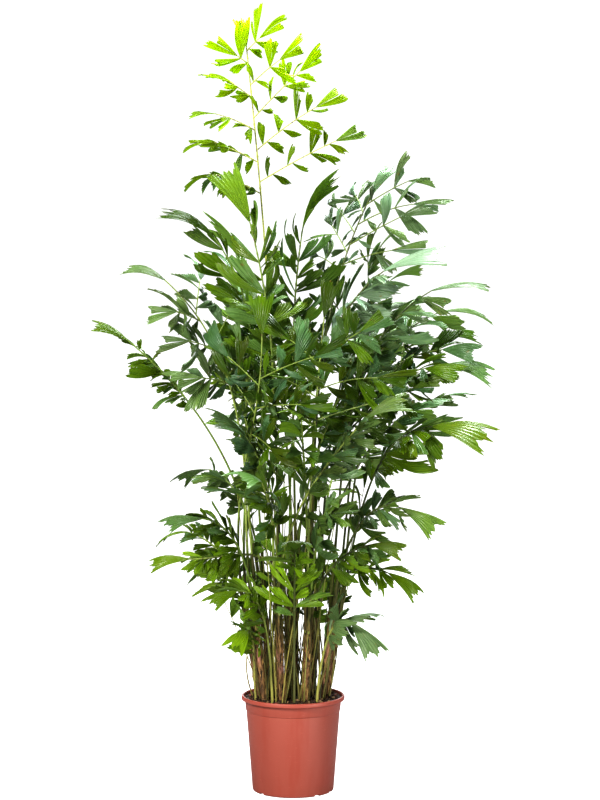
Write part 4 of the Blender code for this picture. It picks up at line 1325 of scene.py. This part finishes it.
def pot_profile():
    band_bottom = RIM_BOTTOM - POT_BAND_HEIGHT
    wall = wall_radius(band_bottom)
    middle = (RIM_RADIUS + RIM_MOUTH_RADIUS) / 2
    roll = (RIM_RADIUS - RIM_MOUTH_RADIUS) / 2
    turns = [math.pi * i / RIM_ARC for i in range(RIM_ARC + 1)]
    return [
        (0.0, 0.0),
        (POT_BASE_RADIUS - BASE_CHAMFER, 0.0),
        *rounded(wall_radius(BASE_CHAMFER), 0.0, BASE_CHAMFER),
        (wall - POT_BAND_STEP, band_bottom - 3 * POT_BAND_STEP),
        (wall - POT_BAND_STEP, band_bottom - POT_BAND_STEP),
        (wall - 0.0002, band_bottom - BAND_EDGE),
        (wall, band_bottom + BAND_EDGE),
        (POT_WALL_RADIUS, RIM_BOTTOM - RIM_FILLET),
        (POT_WALL_RADIUS + RIM_FILLET, RIM_BOTTOM),
        (RIM_RADIUS - RIM_ROUND, RIM_BOTTOM),
        *rounded(RIM_RADIUS, RIM_BOTTOM, RIM_ROUND),
        *((middle + roll * math.cos(a), POT_HEIGHT - roll + roll * math.sin(a)) for a in turns),
        (mouth_radius(MOUTH_BOTTOM), MOUTH_BOTTOM),
        (wall_radius(POT_FLOOR) - POT_WALL, POT_FLOOR),
        (0.0, POT_FLOOR),
    ]


def make_pot(finish):
    """The pot's profile turned round its axis, with drain slots cut at the edge of its base."""
    bm = bmesh.new()
    corners = [bm.verts.new((radius, 0.0, height)) for radius, height in pot_profile()]
    edges = [bm.edges.new(pair) for pair in zip(corners, corners[1:])]
    bmesh.ops.spin(bm, geom=corners + edges, axis=UP, angle=math.tau, steps=POT_ROUND, use_merge=True)
    bmesh.ops.remove_doubles(bm, verts=bm.verts, dist=0.00001)
    bmesh.ops.recalc_face_normals(bm, faces=bm.faces)
    pot = object_from(bm, "pot_shell", finish)
    slots = bmesh.new()
    place = Matrix.Translation((POT_BASE_RADIUS, 0.0, 0.0))
    size = Matrix.Diagonal((DRAIN_DEPTH, DRAIN_WIDTH, 2 * DRAIN_HEIGHT, 1.0))
    for degrees in DRAIN_ANGLES:
        spin = Matrix.Rotation(math.radians(degrees - 90), 4, "Z")
        bmesh.ops.create_cube(slots, size=1.0, matrix=spin @ place @ size)
    cutter = object_from(slots, "drain_slots", finish)
    cut = pot.modifiers.new("cut", "BOOLEAN")
    cut.object = cutter
    cut.solver = "EXACT"
    graph = bpy.context.evaluated_depsgraph_get()
    mesh = bpy.data.meshes.new_from_object(pot.evaluated_get(graph))
    pot.modifiers.clear()
    pot.data = mesh
    bpy.data.objects.remove(cutter, do_unlink=True)
    pot.data.shade_smooth()
    pot.data.set_sharp_from_angle(angle=math.radians(POT_CREASE))
    return pot


def srgb(red, green, painted_sheen):
    """The shader's colour for a screen colour from 0 to 255."""
    shares = [value / 255 for value in (red, green, painted_sheen)]
    return (*(s / 12.92 if s < 0.04 else ((s + 0.055) / 1.055) ** 2.4 for s in shares), 1.0)


class Nodes:
    """Short ways to add shader nodes. A value is a number, a colour or another node's output."""

    def __init__(self, tree):
        self.tree = tree
        self.shader = tree.nodes.get("Principled BSDF")

    def join(self, socket, value):
        if isinstance(value, bpy.types.NodeSocket):
            self.tree.links.new(value, socket)
        else:
            socket.default_value = value

    def fill(self, node, **values):
        for key, value in values.items():
            self.join(node.inputs[key.replace("_", " ")], value)

    def add(self, kind, settings=None, **values):
        node = self.tree.nodes.new("ShaderNode" + kind)
        for key, value in (settings or {}).items():
            setattr(node, key, value)
        self.fill(node, **values)
        return node

    def place(self):
        return self.add("TexCoord").outputs["Object"]

    def along(self):
        return self.add("UVMap", {"uv_map": "along"}).outputs[0]

    def parts(self, vector):
        return self.add("SeparateXYZ", Vector=vector).outputs

    def seen(self):
        return self.add("LightPath").outputs["Is Camera Ray"]

    def tints(self):
        node = self.add("Attribute", {"attribute_name": "tint"})
        parts = self.add("SeparateColor", Color=node.outputs["Color"])
        return (*parts.outputs[:3], node.outputs["Alpha"])

    def mix(self, share, first, second, blend="MIX"):
        node = self.add("Mix", {"data_type": "RGBA", "blend_type": blend})
        for socket, value in ((0, share), (6, first), (7, second)):
            self.join(node.inputs[socket], value)
        return node.outputs[2]

    def coats(self, colour, *coats):
        """Lays colours over one another, each by its share."""
        for share, over in coats:
            colour = self.mix(share, colour, over)
        return colour

    def mix_shaders(self, share, first, second):
        node = self.add("MixShader")
        for socket, value in zip(node.inputs, (share, first.outputs[0], second.outputs[0])):
            self.join(socket, value)
        return node.outputs[0]

    def maths(self, operation, first, second=0.0):
        node = self.add("Math", {"operation": operation})
        self.join(node.inputs[0], first)
        self.join(node.inputs[1], second)
        return node.outputs[0]

    def times(self, first, second):
        return self.maths("MULTIPLY", first, second)

    def plus(self, first, second):
        return self.maths("ADD", first, second)

    def band(self, value, low, high, start=0.0, end=1.0):
        """Maps low..high to start..end, and holds the value outside."""
        node = self.add("MapRange")
        for socket, number in zip(node.inputs, (value, low, high, start, end)):
            self.join(socket, number)
        return node.outputs[0]

    def noise(self, vector, scale, size=1.0, detail=3.0, rough=0.5):
        """Noise, with the place that it is read at scaled three ways."""
        place = self.add("Mapping", Vector=vector, Scale=scale).outputs[0]
        return self.add("TexNoise", Vector=place, Scale=size, Detail=detail, Roughness=rough).outputs[0]

    def surface(self, colour, roughness, height, depth, strength):
        """Gives the shader its colour, roughness and relief, and returns the relief."""
        relief = self.add("Bump", Height=height, Distance=depth, Strength=strength).outputs[0]
        self.fill(self.shader, Base_Color=colour, Roughness=roughness, Normal=relief)
        return relief


def blank(name):
    made = bpy.data.materials.new(name)
    made.use_nodes = True
    return made, Nodes(made.node_tree)


def leaf_finish(name, young):
    made, n = blank(name)
    yellow, painted_sheen, chance, under = n.tints()
    along = n.along()
    share, out, _ = n.parts(along)
    place = n.place()
    lines = n.noise(along, (36.0, 1.6, 1.0), 1.0, 2.0)
    patches = n.noise(place, EVEN, 34.0, 4.0)
    speckle = n.noise(place, EVEN, 420.0)
    spots = n.noise(place, EVEN, 110.0, 2.0)
    pleats = n.maths("SINE", n.times(share, math.tau * (RAYS - 1) / 2))
    other = n.maths("FRACT", n.times(chance, 7.0))
    third = n.maths("FRACT", n.times(chance, 13.0))
    colour = n.coats(
        srgb(18, 38, 6),
        (n.band(chance, 0.0, 1.0), srgb(124, 158, 18)),
        (n.band(other, 0.75, 0.80, 0.0, 0.7), srgb(96, 104, 26)),
        (n.band(other, 0.25, 0.15, 0.0, 0.5), srgb(26, 62, 16)),
        # a dull pale blue-green on about a quarter of the leaves: painted sky reflection
        (n.band(third, 0.72, 0.76, 0.0, 0.75), srgb(112, 150, 118)),
        (n.band(patches, 0.35, 0.7, 0.0, 0.5), srgb(62, 102, 8)),
        # painted sheen: a pale grey-green that stands in for sky mirrored by the leaves
        (painted_sheen, srgb(168, 188, 166)),
        # for the crown this yellow is partly painted light shining through the leaves
        (yellow, srgb(188, 220, 0) if young else srgb(156, 190, 34)),
        (n.band(spots, 0.68, 0.73, 0.0, 0.0 if young else 0.6), srgb(150, 116, 62)),
    )
    veins = n.mix(1.0, colour, (0.45, 0.60, 0.5, 1.0), "MULTIPLY")
    colour = n.mix(n.times(n.band(lines, 0.42, 0.62), 0.75), colour, veins)
    back = n.mix(0.45, colour, srgb(114, 148, 62))
    tip = n.band(n.plus(out, n.times(speckle, 0.06)), 1.015, 1.04)
    colour = n.coats(
        colour,
        (n.times(under, 0.0 if young else 0.5), back),
        (n.times(tip, 0.7), srgb(120, 92, 40)),
    )
    rough = n.plus(n.band(patches, 0.3, 0.7, 0.21, 0.34), n.times(under, 0.14))
    rough = n.plus(rough, n.times(lines, 0.08))
    height = n.plus(n.plus(lines, n.times(pleats, 0.6)), n.times(speckle, 0.25))
    relief = n.surface(colour, rough, height, 0.0010, 0.7)
    n.fill(n.shader, IOR=1.5, Specular_IOR_Level=0.15 if young else 0.42)

    # Light from behind shines through, yellower than the leaf
    lit = n.mix(yellow, srgb(150, 214, 0), srgb(206, 240, 0)) if young else srgb(188, 222, 0)
    bright = n.mix(0.6 if young else 0.45, colour, lit)
    glow = n.add("BsdfTranslucent", Color=bright, Normal=relief)
    output = n.tree.nodes["Material Output"]
    n.fill(output, Surface=n.mix_shaders(LEAF_GLOW, n.shader, glow))
    return made


def stalk_finish():
    made, n = blank("leaf_stalk")
    yellow, brown, chance, dark = n.tints()
    place = n.place()
    height = n.parts(place)[2]
    streaks = n.noise(n.along(), (14.0, 2.2, 1.0))
    spots = n.noise(place, (1.0, 1.0, 0.4), 260.0)
    colour = n.coats(
        srgb(108, 140, 46),
        (chance, srgb(168, 182, 92)),
        (yellow, srgb(200, 204, 104)),
        (n.band(streaks, 0.4, 0.7, 0.0, 0.7), srgb(70, 92, 34)),
        (n.times(n.band(height, 0.50, 0.24), 0.45), srgb(184, 160, 92)),
        (n.times(brown, 0.5), srgb(112, 84, 44)),
        (n.band(spots, 0.60, 0.68), srgb(88, 64, 34)),
        # dark: painted shade on the stalks at the right and on those listed, and a darker tone at random on
        # the shoots and old cane stalks
        (dark, srgb(44, 52, 20)),
    )
    rough = n.band(streaks, 0.3, 0.7, 0.38, 0.58)
    n.surface(colour, rough, n.plus(streaks, n.times(spots, 0.3)), 0.0006, 0.5)
    return made


def cane_finish():
    made, n = blank("cane_fibre")
    fibre, green, chance, _ = n.tints()
    along = n.along()
    place = n.place()
    strands = n.noise(along, (30.0, 3.2, 1.0), 1.0, 5.0, 0.65)
    wide = n.noise(along, (9.0, 1.6, 1.0))
    patches = n.noise(place, (1.0, 1.0, 0.35), 46.0, 4.0)
    flakes = n.noise(place, (1.0, 1.0, 0.22), 230.0, 4.0, 0.6)
    relief = n.times(n.plus(strands, flakes), 0.5)
    level = n.plus(n.parts(place)[2], n.times(patches, 0.16))
    top = n.times(n.band(level, 0.42, 0.52), 0.85)  # canes are green at their heads
    green = n.maths("MAXIMUM", top, n.times(green, 0.75))
    # Near black where the relief is low, tan where it is high: the fibres' own browns, and painted shade in
    # the crevices between them
    colour = n.coats(
        srgb(16, 9, 6),
        (n.band(relief, 0.46, 0.55), srgb(150, 112, 76)),
        (n.band(wide, 0.54, 0.59, 0.0, 0.85), srgb(214, 178, 110)),
        (n.band(patches, 0.58, 0.64, 0.0, 0.8), srgb(188, 132, 122)),
        (n.times(fibre, 0.5), srgb(172, 134, 84)),
        (green, n.mix(chance, srgb(98, 112, 40), srgb(58, 72, 26))),
        # painted shade, darker still in the deepest crevices
        (n.band(relief, 0.47, 0.42, 0.0, 0.8), srgb(10, 6, 4)),
    )
    rough = n.band(strands, 0.3, 0.7, 0.62, 0.92)
    n.surface(colour, rough, n.plus(relief, n.times(patches, 0.4)), 0.0022, 1.0)
    return made


def peat_finish():
    made, n = blank("peat")
    pale, pink, chance, strand = n.tints()
    place = n.place()
    grain = n.noise(place, EVEN, 520.0, 5.0, 0.7)
    lumps = n.noise(place, EVEN, 120.0, 4.0)
    colour = n.coats(
        srgb(16, 11, 8),
        (n.band(grain, 0.35, 0.7), srgb(92, 66, 48)),
        (n.band(lumps, 0.55, 0.7, 0.0, 0.6), srgb(98, 72, 48)),
        (n.times(chance, 0.25), srgb(60, 42, 30)),
        (strand, n.mix(chance, srgb(132, 98, 62), srgb(70, 48, 30))),
        (pale, srgb(168, 138, 98)),
        (pink, srgb(190, 104, 96)),
    )
    n.surface(colour, n.band(grain, 0.3, 0.7, 0.78, 0.96), n.plus(grain, lumps), 0.0018, 1.0)
    return made


def pot_finish():
    made, n = blank("pot_plastic")
    place = n.place()
    height = n.parts(place)[2]
    clouds = n.noise(place, (1.0, 1.0, 0.6), 16.0, 4.0)
    grain = n.noise(place, EVEN, 900.0, 2.0)
    scuffs = n.noise(place, (1.0, 1.0, 6.0), 60.0, 5.0, 0.7)
    smears = n.noise(place, (1.0, 1.0, 0.12), 34.0, 4.0, 0.6)
    # the rolled rim and everything above its foot are painted lighter: a painted highlight
    rim = n.band(height, RIM_BOTTOM, RIM_BOTTOM + RIM_ROUND)
    # a darker band from 5 mm to 1 mm under the rim: painted shadow of the rim
    painted_shade_under_rim = n.maths("SUBTRACT", n.band(height, RIM_BOTTOM - 0.005, RIM_BOTTOM - 0.001), rim)
    # patches of a slightly duller tone over the lowest 3 cm
    low_patches = n.times(n.band(height, 0.03, 0.0), n.band(clouds, 0.4, 0.6))
    colour = n.coats(
        srgb(158, 80, 66),
        (clouds, srgb(168, 88, 74)),
        (n.band(scuffs, 0.62, 0.72, 0.0, 0.35), srgb(222, 136, 116)),
        (n.band(smears, 0.52, 0.66, 0.0, 0.3), srgb(158, 64, 48)),
        # painted highlight on the rim
        (n.times(rim, 0.25), srgb(186, 90, 74)),
        # painted shadow under the rim
        (n.times(painted_shade_under_rim, 0.55), srgb(116, 44, 34)),
        (n.times(low_patches, 0.3), srgb(150, 84, 66)),
    )
    rough = n.band(scuffs, 0.4, 0.7, 0.40, 0.54)
    n.surface(colour, rough, n.plus(grain, n.times(scuffs, 0.3)), 0.0003, 0.5)
    return made


def floor_finish():
    """A floor that takes soft shadows and looks white to the camera."""
    made, n = blank("studio_floor")
    n.fill(n.shader, Base_Color=FLOOR_GREY, Roughness=0.9, Emission_Color=WHITE)
    n.fill(n.shader, Emission_Strength=n.times(n.seen(), FLOOR_GLOW))
    return made


def make_studio():
    bm = bmesh.new()
    bmesh.ops.create_grid(bm, x_segments=1, y_segments=1, size=40.0)
    object_from(bm, "studio_floor", floor_finish())

    scene = bpy.context.scene
    scene.world = bpy.data.worlds.new("studio")
    scene.world.use_nodes = True
    n = Nodes(scene.world.node_tree)
    n.tree.nodes.clear()
    light = n.add("Background", Color=WHITE, Strength=WORLD_LIGHT)
    shown = n.add("Background", Color=WHITE, Strength=1.0)
    n.add("OutputWorld", Surface=n.mix_shaders(n.seen(), light, shown))

    for name, place, aim, size, power, colour in LIGHTS:
        light = bpy.data.lights.new(name, "AREA")
        light.shape = "DISK"
        light.size = size
        light.energy = power
        light.color = colour
        made = new_object(name, light)
        made.location = place
        made.rotation_euler = (Vector(aim) - Vector(place)).to_track_quat("-Z", "Y").to_euler()
        made.visible_camera = False

    camera = new_object("camera", bpy.data.cameras.new("camera"))
    camera.data.sensor_fit = "VERTICAL"
    camera.data.sensor_height = SENSOR
    camera.data.lens = FOCAL_PIXELS * SENSOR / IMAGE_HEIGHT
    camera.location = CAMERA_PLACE
    camera.rotation_euler = (math.radians(90 - CAMERA_DOWN), 0.0, 0.0)
    scene.camera = camera
    scene.view_settings.view_transform = "Standard"
    scene.view_settings.exposure = EXPOSURE
    scene.view_settings.gamma = CONTRAST


def dress(piece, slot, *nodes):
    """The piece rides on the plant's one body and stands for some nodes of the frame."""
    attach(piece, BODY)
    if nodes:
        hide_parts(*nodes)


def main():
    canes = [Cane(*numbers) for numbers in CANES]
    space, fronds = grow_stalks(canes)
    for name, stalk, plan in fronds:
        if plan["rib"]:
            grow_ribs(space, stalk, plan, name)
    for grow in (grow_frond, fill_frond):
        for name, stalk, plan in fronds:
            grow(space, stalk, plan, name)
    shoots = grow_shoots(space)

    leaf = leaf_finish("leaf", False)
    young_leaf = leaf_finish("young_leaf", True)
    stalk_green = stalk_finish()
    fibre = cane_finish()
    for name, stalk, _ in fronds:
        if name == CROWN:
            dress(make_frond(name, stalk, young_leaf, stalk_green), "young_leaf", name)
        else:
            dress(make_frond(name, stalk, leaf, stalk_green), "leaf", name)
    for number, cane in enumerate(canes, 1):
        name = f"cane_{number:02d}"
        held = [stalk for _, stalk, _ in fronds if (stalk.line(0.0) - cane.head).length < HEAD_REACH]
        dress(make_cane(name, cane, held, fibre, stalk_green), "cane_fibre", name)
    dress(make_shoots(shoots, leaf, stalk_green), "leaf")
    dress(make_soil(peat_finish()), "peat", "soil")
    dress(make_pot(pot_finish()), "pot_plastic", "pot")
    make_studio()


main()
